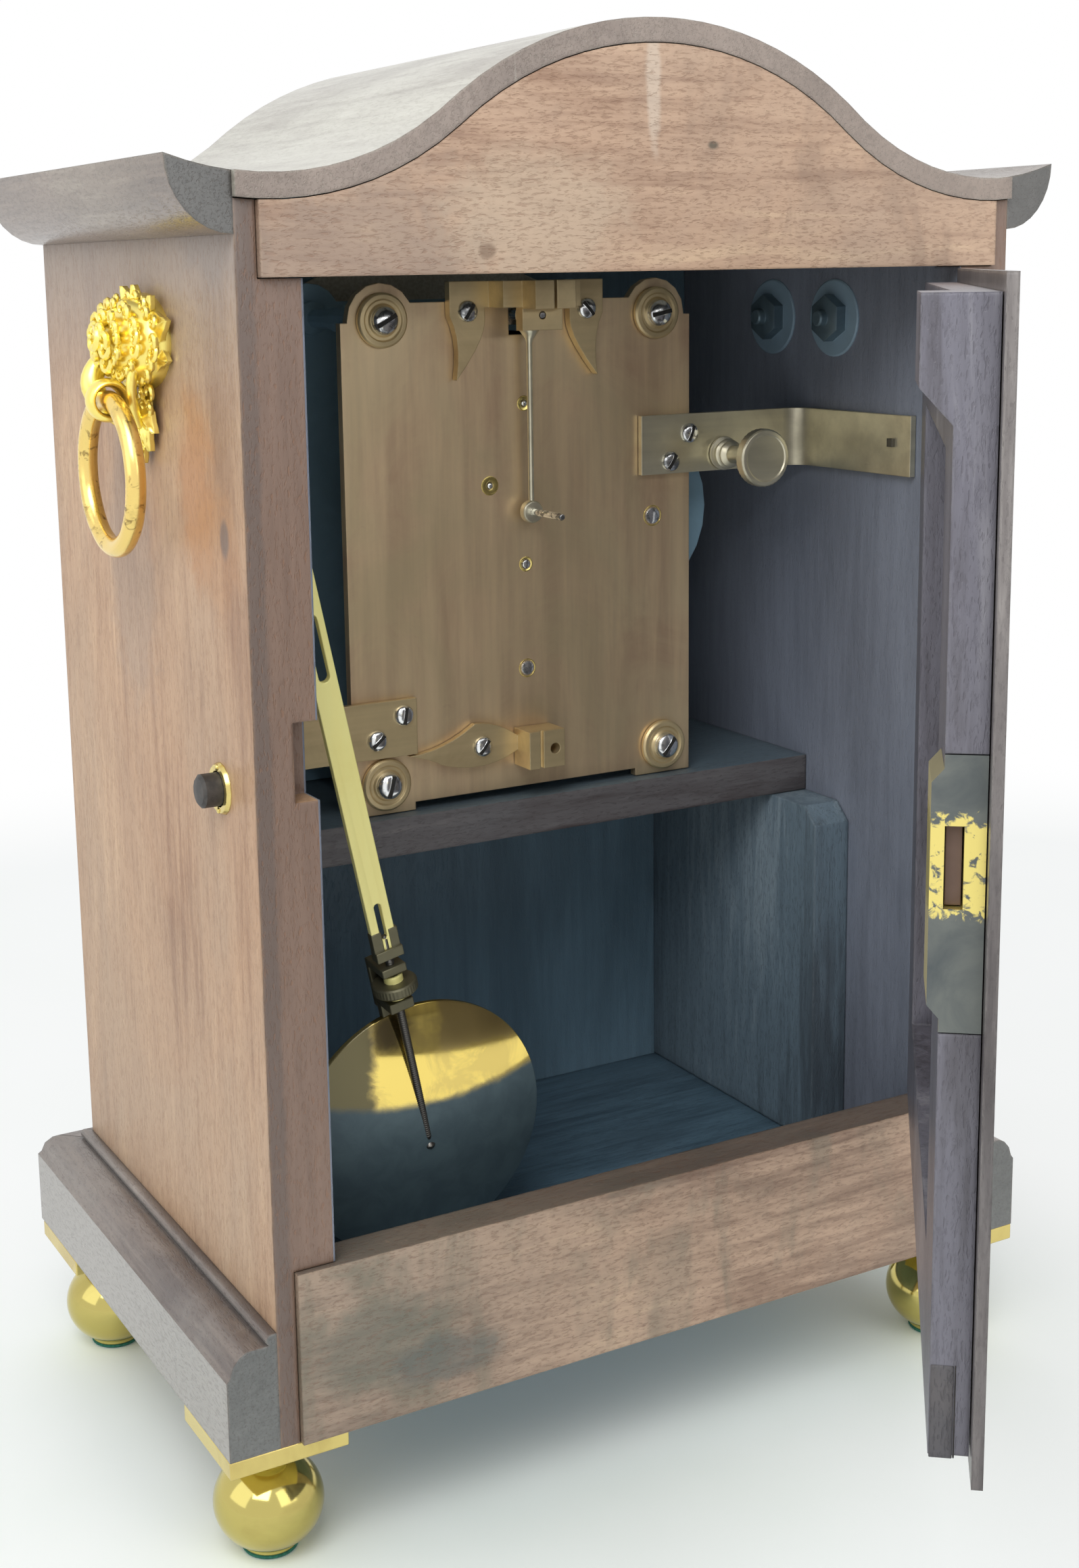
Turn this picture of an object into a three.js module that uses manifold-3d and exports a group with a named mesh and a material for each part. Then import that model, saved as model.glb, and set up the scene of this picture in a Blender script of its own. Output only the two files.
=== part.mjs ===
// Table clock in a bell-arch mahogany case, with the back door standing open.
// Millimetres. +X is the left side as seen from behind, +Y is the back, +Z is up.
// Every length is named here or worked out from a named one; tables ending in _share
// or Share hold fractions of the size that they follow.
import * as THREE from 'three';
import { mergeVertices } from 'three/addons/utils/BufferGeometryUtils.js';
import Module from 'manifold-3d';

const wasm = await Module();
wasm.setup();

// Shared clearances
const gap = 0.3;
const overrun = 2;
const runningGap = 0.35;

// Case carcass
const caseWidth = 250;
const caseDepth = 158;
const wallThickness = 18;
const railHeight = 50.8;
const openingTop = 316;
const frontBoardThickness = 12;
const backBoard = { thickness: 12.7, proud: 2, housing: 12 };
const floorTop = 21.5;
const floorThickness = 15.5;

// Faces of the carcass that other pieces start from
const halfWidth = caseWidth / 2;
const halfDepth = caseDepth / 2;
const wallInner = halfWidth - wallThickness;
const boardBack = halfDepth + backBoard.proud;
const frontBoardBack = frontBoardThickness - halfDepth;

// Roof: a crown arc that runs into a hollow arc over each side
const roof = { crownRise: 67.1, crownInset: 21, hollowDrop: 41.3, hollowInset: 9 };
const crown = { top: openingTop + roof.crownRise, radius: halfWidth - roof.crownInset };
const valley = { x: halfWidth - roof.hollowInset, z: crown.top - roof.hollowDrop };
const roofThickness = 6.4;

// Cornice and plinth mouldings
const cornice = { reach: 17.4, drop: 19.4 };
const plinth = { height: 34.4, reach: 15, fillet: 23.5, ovolo: 24.7, ovoloTop: 27.8, shelf: 31.2 };
const plinthSteps = { bead: 3.3, shelfOut: 8.9, ovoloOut: 13 };

// Feet
const pad = { side: 35.5, thickness: 5.3, frontInset: 2 };
const foot = { height: 40, ball: 15.85, ballHalfHeight: 14, neck: 6.5, collar: 9, collarHeight: 2.7 };
const felt = { radius: 8, thickness: 1.3 };

// Seat for the movement, whose back plate stands at movementDepth behind the front board
const movementDepth = 69;
const plateBack = frontBoardBack + movementDepth;
const seat = { top: 151.7, thickness: 12, lap: 5.5, frontGap: 5, cheek: 14.2, cheekInset: 48, chamfer: 6 };
const seatBack = plateBack + seat.lap;
const cheekBack = halfDepth - seat.cheekInset;

// Side mounts and rings
const mount = { y: 12, top: 316, bottom: 264, width: 48, plate: 3.2, eyeZ: 283.8, eyeX: 12 };
const ring = { radius: 20.3, tube: 2.8 };
const eye = { outer: 6.2, inner: 3.55, length: 6 };

// Side button
const button = { inset: 24.1, z: 181.7, radius: 4.7, out: 7, inside: 4, collar: 7.25, collarThickness: 1.2 };
const buttonY = halfDepth - button.inset;

// Back door, measured closed from its hinge axis
const hinge = { stand: 3.2, knuckle: 2.4, pin: 1, leaf: 1.2, depth: 10, length: 50, lowZ: 98, highZ: 268 };
const hingeX = -wallInner;
const hingeY = halfDepth + hinge.stand;
const door = { openAngle: 51.2, lip: 2.6, proud: 2.9, lap: 4.5, bottomGap: 1.2, topGap: 0.5 };
const doorBack = halfDepth + door.proud;
const doorFree = wallInner + door.lap;
const doorFrame = { thickness: 9, sideGap: 1.3, bottomGap: 5.7, topGap: 4.5, member: 34 };
const doorFrameHalf = wallInner - doorFrame.sideGap;
const cornerBlock = { width: 30, height: 27, thickness: 7, slope: 8 };
const lock = { bottom: 155.5, top: 216.5, plate: 1, depth: 19, mortise: 6, stand: 2.6, inset: 3, slope: 3 };
const bolt = { bottom: 183.3, top: 200.8, thickness: 3.4, length: 13, recess: 2.2, inset: 2.4 };
const strike = { depth: 7 };

// Dial, glass and hands
const dialCentreZ = 226;
const dial = { margin: 15, lap: 6, thickness: 1.5, pipeHole: 6, windingHole: 5.5 };
const dialOpening = wallInner - dial.margin;
const dialRadius = dialOpening + dial.lap;
const bezel = { lap: 4.5, rabbet: 2.7, border: 12.5, height: 11.5, rabbetDepth: 5.6, lipDepth: 2.2 };
const bezelSight = dialOpening - bezel.lap;
const bezelRabbet = bezelSight + bezel.rabbet;
const bezelOuter = bezelSight + bezel.border;
const glass = { play: 0.4, thickness: 2 };
const bezelHinge = { out: 3.5, stand: 4.2, knuckle: 2.6, pin: 1.2, lug: 4, length: 12, plateWidth: 17, plate: 2 };
const bezelHingeX = bezelOuter + bezelHinge.out;
const minuteHand = { tipGap: 9.5, stand: 8.2, thickness: 1.2, width: 7 };
const minuteLength = bezelSight - minuteHand.tipGap;
const minuteY = frontBoardBack - minuteHand.stand;
const hourHand = { stand: 4.2, thickness: 1.2, width: 9 };
const hourLengthShare = 2 / 3;
const hourY = frontBoardBack - hourHand.stand;
const motion = { distance: 20, cannonTeeth: 24, hourTeeth: 72, pinionLeaves: 6, thickness: 1.4 };

// Movement plates and pillars
const plate = { halfWidth: 61.8, thickness: 3, bottom: 152, shoulder: 302.4, top: 308 };
const ear = { x: 48.5, z: 303, radius: 11 };
const plateFoot = { inner: 40.7, notch: 2.5 };
const pillar = { length: 49.4, x: 51, z: 161.5, waist: 3.2, collar: 5.4, belly: 4.6, bore: 1.9 };
const screw = { washer: 8.2, washerThickness: 2, head: 4.1, headThickness: 2.6, slot: 1, slotDepth: 1, thread: 1.6 };
const threadLength = 9;
const arborNotch = { halfWidth: 5, bottom: 297.5 };

// Going train: places of the arbors in the plates
const arbors = {
  escape: { x: 0, z: 276.4 },
  third: { x: 12.5, z: 251.5 },
  centre: { x: 0, z: 226 },
  fusee: { x: 0, z: 192.7 },
  barrel: { x: -47.5, z: 238 },
  pallet: { x: 0, z: 303.5 },
};
const teeth = { great: 96, centrePinion: 8, centre: 84, thirdPinion: 7, third: 78, escapePinion: 7, escape: 30 };
const flatTippedTeeth = 20;
const palletSpanTeeth = 8.5;
const fuseeTurnCount = 7;
const tooth = { addendum: 0.25, dedendum: 1, tip: 0.5 };
const wheel = { thickness: 1.6, rim: 4, hub: 5, arms: 4, armWidth: 4.5 };
const arbor = { radius: 1.5, pivot: 0.9, pinionLength: 6 };
const depthOf = { great: 49, centre: 11, third: 22, escape: 10, pallets: 11.2 };
const levels = {
  great: plateBack - depthOf.great,
  centre: plateBack - depthOf.centre,
  third: plateBack - depthOf.third,
  escape: plateBack - depthOf.escape,
  pallets: plateBack - depthOf.pallets,
};
const escapeWheel = { radius: 17, depth: 4.2 };
const barrel = { radius: 31.5, frontDepth: 46, backDepth: 16, flange: 1.5, arbor: 3, pivot: 2.2 };
const fusee = { large: 25, small: 13, backDepth: 15, arbor: 2.4, pivot: 1.9, square: 3.2, squareReach: 65 };
const pallets = { clearance: 1, nib: 1.2, thickness: 3.5, arm: 4 };
const crutch = { rod: 0.9, stand: 4, footZ: 243, boss: 3.5, bossLength: 3, pin: 1.1, pinLength: 19, collet: 4.2 };
const crutchY = plateBack + crutch.stand;

// Brass pieces on the back plate
const cock = { foot: 3, screwX: 21, top: 314, tipX: 25, tipZ: 284.5, width: 12, bridgeStand: 8.4, bridge: 4 };
const bridgeFront = plateBack + cock.bridgeStand;
const cockBlock = { halfWidth: 7, depth: 8, bottom: 305.5, slit: 1, armWidth: 6, armBottom: 306, bridgeBottom: 299 };
const holdfast = { tipX: 43.6, z: 169.8, endX: 5, thickness: 2.2, height: 15, blockReach: 7.5 };
const holdfastBlock = { bottom: 162, top: 174, depth: 10, groove: 1.2, grooveX: 0.8, hole: 1.75, holeReach: 4 };
const strap = { thickness: 2, cornerRadius: 9, lowBottom: 170.3, lowTop: 188, highBottom: 251.5, highTop: 270.5 };
const strapEnds = { lowStart: 40.7, buttonGap: 14.9, highStart: 42, highInset: 18 };
const thumb = { out: 73.5, z: 257, shank: 2, hole: 2.35, collar: 5.4, collarLength: 6, neck: 3, head: 9.25, headThickness: 4 };
const thumbX = -thumb.out;
const thumbReach = { head: 22.5, tip: 3 };

// Pendulum, unhooked and leaning in the case; lengths run along the rod from the nut
const pendulum = { wallGap: 37, inset: 34.7, z: 112.8 };
const lean = { sideAngle: 12.8, backAngle: 4.6 };
const rod = { halfWidth: 5.6, thickness: 2.2, start: 16, end: 140 };
const crutchSlot = { start: 97, end: 117, halfWidth: 2.3 };
const rodSlot = { start: 20, end: 32, halfWidth: 1.5 };
const yoke = { halfWidth: 6.2, thickness: 4, start: 9.5, end: 17 };
const spring = { halfWidth: 2.2, thickness: 0.8, end: 147.5, blockEnd: 153, blockThickness: 3 };
const screwRod = { radius: 1.6, reach: 57, tip: 1.9, tipLength: 2.4, neck: 0.9 };
const bob = { radius: 40.8, halfThickness: 6.5, rim: 0.9, drop: 52, forward: 5.5, channel: 2.3 };
const stirrup = { halfWidth: 6.2, plate: 2.2, half: 4.5, post: 2.2, depth: 6.5, bore: 2 };
const ratingNut = { radius: 7.4, halfHeight: 2.1, hub: 3.4, hubHeight: 1.7, bore: 1.95 };

// Sizes that follow from the ones above
const frontPlateBack = plateBack - plate.thickness - pillar.length;
const frontPlateFront = frontPlateBack - plate.thickness;
const dialFront = frontBoardBack + gap;
const dialBack = dialFront + dial.thickness;
const rad = THREE.MathUtils.degToRad;

// Materials
const finish = (color, roughness, metalness) => new THREE.MeshStandardMaterial({ color, roughness, metalness });
const mahogany = finish(0x8a5a40, 0.6, 0);
const paleMahogany = finish(0xa87a63, 0.65, 0);
const darkMahogany = finish(0x3c2520, 0.6, 0);
const brass = finish(0x8f7440, 0.38, 0.9);
const brightBrass = finish(0xc9a24a, 0.25, 0.95);
const gilt = finish(0xb08d4c, 0.45, 0.85);
const steel = finish(0x6a6a6c, 0.3, 0.95);
const blueSteel = finish(0x1d2440, 0.3, 0.9);
const ebony = finish(0x14100e, 0.4, 0);
const silvered = finish(0xd8d4c6, 0.45, 0.5);
const clearGlass = finish(0xe6efee, 0.05, 0);

// Solids and booleans
function toSolid(geometry) {
  const bare = geometry.clone();
  bare.deleteAttribute('normal');
  bare.deleteAttribute('uv');
  const merged = mergeVertices(bare);
  const index = merged.index
    ? Uint32Array.from(merged.index.array)
    : Uint32Array.from({ length: merged.attributes.position.count }, (_, i) => i);
  const vertProperties = Float32Array.from(merged.attributes.position.array);
  return new wasm.Manifold(new wasm.Mesh({ numProp: 3, vertProperties, triVerts: index }));
}

function toGeometry(solid) {
  const mesh = solid.getMesh();
  const geometry = new THREE.BufferGeometry();
  geometry.setAttribute('position', new THREE.BufferAttribute(Float32Array.from(mesh.vertProperties), 3));
  geometry.setIndex(new THREE.BufferAttribute(Uint32Array.from(mesh.triVerts), 1));
  geometry.computeVertexNormals();
  return geometry;
}

function join(...geometries) {
  return toGeometry(geometries.map(toSolid).reduce((whole, next) => whole.add(next)));
}

function cut(geometry, ...cutters) {
  return toGeometry(cutters.map(toSolid).reduce((whole, next) => whole.subtract(next), toSolid(geometry)));
}

// Plain forms, each placed where it belongs
function box(x0, x1, y0, y1, z0, z1) {
  const geometry = new THREE.BoxGeometry(x1 - x0, y1 - y0, z1 - z0);
  return geometry.translate((x0 + x1) / 2, (y0 + y1) / 2, (z0 + z1) / 2);
}

function shapeOf(points) {
  return new THREE.Shape(points.map(([x, y]) => new THREE.Vector2(x, y)));
}

// An outline drawn in X and Z, carried along Y from y0 to y1
function slab(shape, y0, y1, curveSegments = 12) {
  const geometry = new THREE.ExtrudeGeometry(shape, { depth: y1 - y0, bevelEnabled: false, curveSegments });
  return geometry.rotateX(Math.PI / 2).translate(0, y1, 0);
}

// An outline drawn in Y and Z, carried along X from x0 to x1
function slabAcross(shape, x0, x1, curveSegments = 12) {
  return slab(shape, -x1, -x0, curveSegments).rotateZ(Math.PI / 2);
}

// A turned piece: pairs of radius and distance along the axis
function turned(profile, segments) {
  const points = profile.map(([radius, along]) => new THREE.Vector2(radius, along));
  return new THREE.LatheGeometry(points, segments);
}

// The same, turned about a line along Y, so that distances are y values
function turnedY(profile, x, z, segments = 24) {
  return turned(profile, segments).translate(x, 0, z);
}

function turnedX(profile, y, z, segments = 24) {
  return turned(profile, segments).rotateZ(-Math.PI / 2).translate(0, y, z);
}

function turnedZ(profile, x, y, segments = 24) {
  return turned(profile, segments).rotateX(Math.PI / 2).translate(x, y, 0);
}

function rodY(radius, y0, y1, x, z, segments = 10) {
  return turnedY([[0, y0], [radius, y0], [radius, y1], [0, y1]], x, z, segments);
}

function rodX(radius, x0, x1, y, z, segments = 10) {
  return turnedX([[0, x0], [radius, x0], [radius, x1], [0, x1]], y, z, segments);
}

function rodZ(radius, z0, z1, x, y, segments = 10) {
  return turnedZ([[0, z0], [radius, z0], [radius, z1], [0, z1]], x, y, segments);
}

function arcPoints(cx, cy, radius, from, to, steps) {
  return Array.from({ length: steps + 1 }, (_, i) => {
    const angle = from + (to - from) * i / steps;
    return [cx + radius * Math.cos(angle), cy + radius * Math.sin(angle)];
  });
}

function mirrored(geometry) {
  return toGeometry(toSolid(geometry).mirror([1, 0, 0]));
}

const clock = new THREE.Group();
function add(parent, name, geometry, material) {
  const mesh = new THREE.Mesh(geometry, material);
  mesh.name = name;
  parent.add(mesh);
  return mesh;
}

// Roof line
const crownCentreZ = crown.top - crown.radius;
const valleyRise = valley.z - crownCentreZ;
const valleyRadius = (valley.x ** 2 + valleyRise ** 2 - crown.radius ** 2) / (2 * (crown.radius - valleyRise));
const valleyCentreZ = valley.z + valleyRadius;
const tangentAngle = Math.atan2(valleyCentreZ - crownCentreZ, valley.x);

// Height of the roof at x, taken down square to the curve by inset
function roofHeight(x, inset) {
  const side = Math.abs(x);
  if (side < (crown.radius - inset) * Math.cos(tangentAngle)) {
    return crownCentreZ + Math.sqrt((crown.radius - inset) ** 2 - side ** 2);
  }
  return valleyCentreZ - Math.sqrt((valleyRadius + inset) ** 2 - (side - valley.x) ** 2);
}

const roofSteps = 40;
function roofLine(from, to, inset) {
  const count = Math.max(2, Math.round(roofSteps * Math.abs(to - from) / caseWidth));
  return Array.from({ length: count + 1 }, (_, i) => {
    const x = from + (to - from) * i / count;
    return [x, roofHeight(x, inset)];
  });
}

// A board that runs from bottom up to the underside of the roof
function boardUnderRoof(x0, x1, bottom) {
  return shapeOf([[x0, bottom], [x1, bottom], ...roofLine(x1, x0, roofThickness + gap)]);
}

function sideWall(withButton) {
  const blank = slab(boardUnderRoof(wallInner, halfWidth, 0), -halfDepth, halfDepth);
  const housingFront = boardBack - backBoard.thickness - gap;
  const housingEnd = wallInner + backBoard.housing + gap;
  const cutters = [
    box(wallInner - overrun, housingEnd, housingFront, halfDepth + overrun, -overrun, railHeight),
    box(wallInner - overrun, housingEnd, housingFront, halfDepth + overrun, openingTop, crown.top),
  ];
  if (withButton) {
    cutters.push(rodX(button.radius + runningGap, wallInner - overrun, halfWidth + overrun, buttonY, button.z, 16));
    const lockY = doorFrame.thickness / 2 + gap;
    const centre = frameBack - doorFrame.thickness / 2;
    cutters.push(box(
      wallInner - overrun, wallInner + strike.depth,
      centre - lockY + gap, centre + lockY - gap,
      bolt.bottom - overrun, bolt.top + overrun,
    ));
  } else {
    for (const z of [hinge.lowZ, hinge.highZ]) {
      const leafEnd = wallInner + hinge.leaf + gap;
      const leafFront = hingeY - hinge.depth - gap;
      const half = hinge.length / 2 + gap;
      cutters.push(box(wallInner - overrun, leafEnd, leafFront, halfDepth + overrun, z - half, z + half));
    }
  }
  return cut(blank, ...cutters);
}

// Moulding profiles, drawn outwards from the face of the case
function plinthProfile(face) {
  const bead = arcPoints(
    face + plinthSteps.bead - plinthSteps.bead / 2,
    plinth.height - plinthSteps.bead / 2,
    plinthSteps.bead / 2, Math.PI / 2, -Math.PI / 3, 4,
  );
  const ovoloRise = plinth.ovoloTop - plinth.ovolo;
  return shapeOf([
    [face, 0],
    [face + plinth.reach, 0],
    [face + plinth.reach, plinth.fillet],
    [face + plinthSteps.ovoloOut + ovoloRise / 3, plinth.ovolo],
    [face + plinthSteps.ovoloOut, plinth.ovoloTop],
    [face + (plinthSteps.ovoloOut + plinthSteps.shelfOut) / 2, plinth.shelf - ovoloRise / 3],
    [face + plinthSteps.shelfOut, plinth.shelf],
    ...bead.reverse(),
    [face, plinth.height],
  ]);
}

// The mitre runs from the corner of the case out to the corner of the plinth
function mitreWedge(clearance) {
  const far = plinth.reach + overrun;
  const back = [halfWidth - overrun, -halfDepth + overrun];
  const out = [halfWidth + far, -halfDepth - far];
  const wedge = shapeOf([
    [back[0], back[1] + clearance],
    [back[0], out[1]],
    [out[0], out[1] + clearance],
  ]);
  const geometry = new THREE.ExtrudeGeometry(wedge, { depth: plinth.height + 2 * overrun, bevelEnabled: false });
  return geometry.translate(0, 0, -overrun);
}

function sidePlinth() {
  const blank = slab(plinthProfile(halfWidth), -halfDepth - plinth.reach, halfDepth);
  return cut(blank, mitreWedge(gap / 2));
}

function frontPlinth() {
  const reach = halfWidth + plinth.reach;
  const blank = slab(plinthProfile(halfDepth), -reach, reach).rotateZ(-Math.PI / 2);
  const outside = new THREE.ExtrudeGeometry(shapeOf([
    [halfWidth - overrun, -halfDepth + overrun - gap / 2],
    [reach + overrun, -halfDepth - plinth.reach - overrun - gap / 2],
    [reach + overrun, -halfDepth + overrun],
  ]), { depth: plinth.height + 2 * overrun, bevelEnabled: false }).translate(0, 0, -overrun);
  return cut(blank, outside, mirrored(outside));
}

function sideCornice() {
  const steps = 8;
  const tip = halfWidth + cornice.reach;
  const top = roofHeight(tip, 0);
  const ovolo = Array.from({ length: steps + 1 }, (_, i) => {
    const angle = Math.PI / 2 * i / steps;
    return [halfWidth + cornice.reach * Math.sin(angle), top - cornice.drop * Math.cos(angle)];
  });
  return slab(shapeOf([...ovolo, ...roofLine(tip, halfWidth, 0).slice(1)]), -halfDepth, halfDepth);
}

function roofBoard() {
  const shape = shapeOf([
    ...roofLine(-halfWidth, halfWidth, roofThickness),
    ...roofLine(halfWidth, -halfWidth, 0),
  ]);
  return slab(shape, -halfDepth, boardBack);
}

function frontBoard() {
  const width = wallInner - gap;
  const blank = slab(boardUnderRoof(-width, width, 0), -halfDepth, frontBoardBack);
  return cut(blank, rodY(dialOpening, -halfDepth - overrun, frontBoardBack + overrun, 0, dialCentreZ, 40));
}

function seatCheek() {
  const inner = wallInner - seat.cheek;
  const top = seat.top - seat.thickness - gap;
  const shape = shapeOf([
    [frontBoardBack + gap, floorTop], [cheekBack, floorTop], [cheekBack, top - seat.chamfer],
    [cheekBack - seat.chamfer, top], [frontBoardBack + gap, top],
  ]);
  return slabAcross(shape, inner, wallInner - gap);
}

function seatBoard() {
  const half = wallInner - gap;
  return box(-half, half, frontBoardBack + seat.frontGap, seatBack, seat.top - seat.thickness, seat.top);
}

function footPiece(x, y) {
  const ballCentre = -foot.height + felt.thickness / 2 + foot.ballHalfHeight;
  const steps = 6;
  const lowest = -Math.acos(felt.radius / foot.ball);
  const highest = Math.acos(foot.neck / foot.ball);
  const ball = Array.from({ length: steps + 1 }, (_, i) => {
    const angle = lowest + (highest - lowest) * i / steps;
    return [foot.ball * Math.cos(angle), ballCentre + foot.ballHalfHeight * Math.sin(angle)];
  });
  const collarZ = -pad.thickness - foot.collarHeight;
  const profile = [
    [0, -foot.height], [felt.radius, -foot.height], ...ball,
    [foot.neck, collarZ], [foot.collar, collarZ], [foot.collar, -pad.thickness / 2], [0, -pad.thickness / 2],
  ];
  const half = pad.side / 2;
  return join(
    turnedZ(profile, x, y, 14),
    box(x - half, x + half, y - half, y + half, -pad.thickness, 0),
  );
}

// Foliate mount: a leaf-shaped plate with domed florets, an eye for the ring and a tail of berries
const lobeShare = [
  // across, up, half width, half height, rise from the wall: shares of the mount's own sizes
  [0, 0.76, 0.13, 0.12, 0.58], [0.22, 0.68, 0.12, 0.11, 0.52], [-0.22, 0.68, 0.12, 0.11, 0.52],
  [0.32, 0.49, 0.11, 0.1, 0.46], [-0.32, 0.49, 0.11, 0.1, 0.46],
  [0, 0.48, 0.2, 0.19, 0.66], [0, 0.24, 0.12, 0.1, 0.48], [0, 0.1, 0.08, 0.08, 0.42],
];
const domeShare = [[0, -0.2], [1, -0.2], [0.94, 0.3], [0.72, 0.68], [0.38, 0.92], [0, 1]];
const leafShare = [
  // across and up, from the tail round one side to the top point
  [0, 0], [0.12, 0.08], [0.26, 0.2], [0.42, 0.3], [0.5, 0.46], [0.42, 0.54], [0.5, 0.7],
  [0.36, 0.76], [0.36, 0.92], [0.16, 0.86], [0, 1],
];

function sideMount() {
  const height = mount.top - mount.bottom;
  const half = leafShare.map(([across, up]) => [mount.y + across * mount.width, mount.bottom + up * height]);
  const other = leafShare.slice(1, -1).map(([across, up]) => (
    [mount.y - across * mount.width, mount.bottom + up * height]
  ));
  const leaf = slabAcross(shapeOf([...half, ...other.reverse()]), halfWidth, halfWidth + mount.plate);
  const rise = mount.eyeX;
  const lobes = lobeShare.map(([across, up, wide, high, out]) => {
    const lobe = turned(domeShare, 10).rotateZ(-Math.PI / 2);
    lobe.scale(out * rise, wide * mount.width, high * height);
    return lobe.translate(halfWidth + gap, mount.y + across * mount.width, mount.bottom + up * height);
  });
  const wallTrim = box(
    wallInner, halfWidth, mount.y - mount.width, mount.y + mount.width,
    mount.bottom - height, mount.top + height,
  );
  const eyeX = halfWidth + mount.eyeX;
  const loop = rodY(eye.outer, mount.y - eye.length / 2, mount.y + eye.length / 2, eyeX, mount.eyeZ, 20);
  const neck = box(
    halfWidth + mount.plate / 2, eyeX - eye.inner - gap,
    mount.y - eye.length / 2, mount.y + eye.length / 2, mount.eyeZ - eye.inner, mount.eyeZ + eye.inner,
  );
  const hole = rodY(eye.inner, mount.y - eye.length, mount.y + eye.length, eyeX, mount.eyeZ, 16);
  return cut(join(leaf, ...lobes, loop, neck), wallTrim, hole);
}

function carryingRing() {
  const torus = new THREE.TorusGeometry(ring.radius, ring.tube, 7, 26).rotateY(Math.PI / 2);
  return torus.translate(halfWidth + mount.eyeX, mount.y, mount.eyeZ - ring.radius);
}

function buttonCollar() {
  return turnedX([
    [button.radius + runningGap, halfWidth],
    [button.collar, halfWidth],
    [button.collar - button.collarThickness / 2, halfWidth + button.collarThickness],
    [button.radius + runningGap, halfWidth + button.collarThickness],
    [button.radius + runningGap, halfWidth],
  ], buttonY, button.z, 16);
}

function sideButton() {
  const end = halfWidth + button.out;
  return turnedX([
    [0, wallInner - button.inside], [button.radius, wallInner - button.inside],
    [button.radius, end - button.radius / 4], [button.radius * 0.8, end - button.radius / 12], [0, end],
  ], buttonY, button.z, 14);
}

// Door pieces, drawn closed about the hinge axis at the origin of their group
const frameBack = doorBack - door.lip - gap;
const relX = (x) => x - hingeX;
const relY = (y) => y - hingeY;

function doorPanel() {
  const start = hinge.knuckle + 2 * gap;
  return box(
    start, relX(doorFree), relY(doorBack - door.lip), relY(doorBack),
    railHeight + door.bottomGap, openingTop - door.topGap,
  );
}

const frameFront = frameBack - doorFrame.thickness;

// Room for the lock: a mortise open to the inner face, and a notch for the plate on the edge
function lockRoom() {
  const face = relX(doorFrameHalf);
  return [
    box(
      face - lock.depth - gap, face + overrun, relY(frameFront) - overrun, relY(frameFront) + lock.mortise + gap,
      lock.bottom + lock.inset - gap, lock.top - lock.inset + gap,
    ),
    box(
      face - lock.plate - gap, face + overrun, relY(frameFront) - overrun, relY(frameBack) + overrun,
      lock.bottom - gap, lock.top + gap,
    ),
  ];
}

function doorFrameBoards() {
  const { member, thickness } = doorFrame;
  const half = doorFrameHalf;
  const bottom = railHeight + doorFrame.bottomGap;
  const top = openingTop - doorFrame.topGap;
  const front = relY(frameBack - thickness);
  const back = relY(frameBack);
  const outer = box(relX(-half), relX(half), front, back, bottom, top);
  const window = box(
    relX(-half) + member, relX(half) - member, front - overrun, back + overrun, bottom + member, top - member,
  );
  const leafCuts = [hinge.lowZ, hinge.highZ].map((z) => box(
    relX(-half) - overrun, relX(-half) + hinge.leaf + gap,
    relY(hingeY - hinge.depth) - gap, back + overrun,
    z - hinge.length / 2 - gap, z + hinge.length / 2 + gap,
  ));
  const blank = cut(outer, window, ...leafCuts, ...lockRoom());
  const block = slabAcross(shapeOf([
    [front + gap, top], [front - cornerBlock.thickness, top],
    [front - cornerBlock.thickness, top - cornerBlock.height + cornerBlock.slope],
    [front + gap, top - cornerBlock.height],
  ]), relX(half) - cornerBlock.width, relX(half));
  return join(blank, block);
}

const boltMiddle = relY(frameFront) + bolt.inset;

function lockCase() {
  const face = relX(doorFrameHalf);
  const low = lock.bottom + lock.inset;
  const high = lock.top - lock.inset;
  const front = relY(frameFront);
  const body = slabAcross(shapeOf([
    [front + lock.mortise, low], [front + lock.mortise, high], [front, high],
    [front - lock.stand, high - lock.slope], [front - lock.stand, low + lock.slope], [front, low],
  ]), face - lock.depth, face);
  const plate = box(face - lock.plate, face, front, relY(frameBack), lock.bottom, lock.top);
  const channel = box(
    face - lock.depth + overrun, face + overrun,
    boltMiddle - bolt.thickness / 2 - runningGap, boltMiddle + bolt.thickness / 2 + runningGap,
    bolt.bottom - runningGap, bolt.top + runningGap,
  );
  return cut(join(body, plate), channel);
}

function lockBolt() {
  const end = relX(doorFrameHalf) - bolt.recess;
  return box(
    end - bolt.length, end, boltMiddle - bolt.thickness / 2, boltMiddle + bolt.thickness / 2,
    bolt.bottom, bolt.top,
  );
}

// Butt hinges: the jamb half has two knuckles and the pin, the door half the middle knuckle
function jambHinge(z) {
  const third = hinge.length / 3;
  const bottom = z - hinge.length / 2;
  const top = z + hinge.length / 2;
  const leaf = box(
    hingeX - hinge.leaf, hingeX, hingeY - hinge.depth, hingeY - hinge.knuckle / 2, bottom, top,
  );
  const barrelLine = rodZ(hinge.knuckle, bottom, top, hingeX, hingeY, 16);
  const clearing = hinge.knuckle + gap;
  const window = box(
    hingeX - clearing, hingeX + clearing, hingeY - clearing, hingeY + clearing,
    bottom + third - gap, top - third + gap,
  );
  const pin = rodZ(hinge.pin, bottom, top, hingeX, hingeY, 12);
  return join(cut(join(leaf, barrelLine), window), pin);
}

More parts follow.
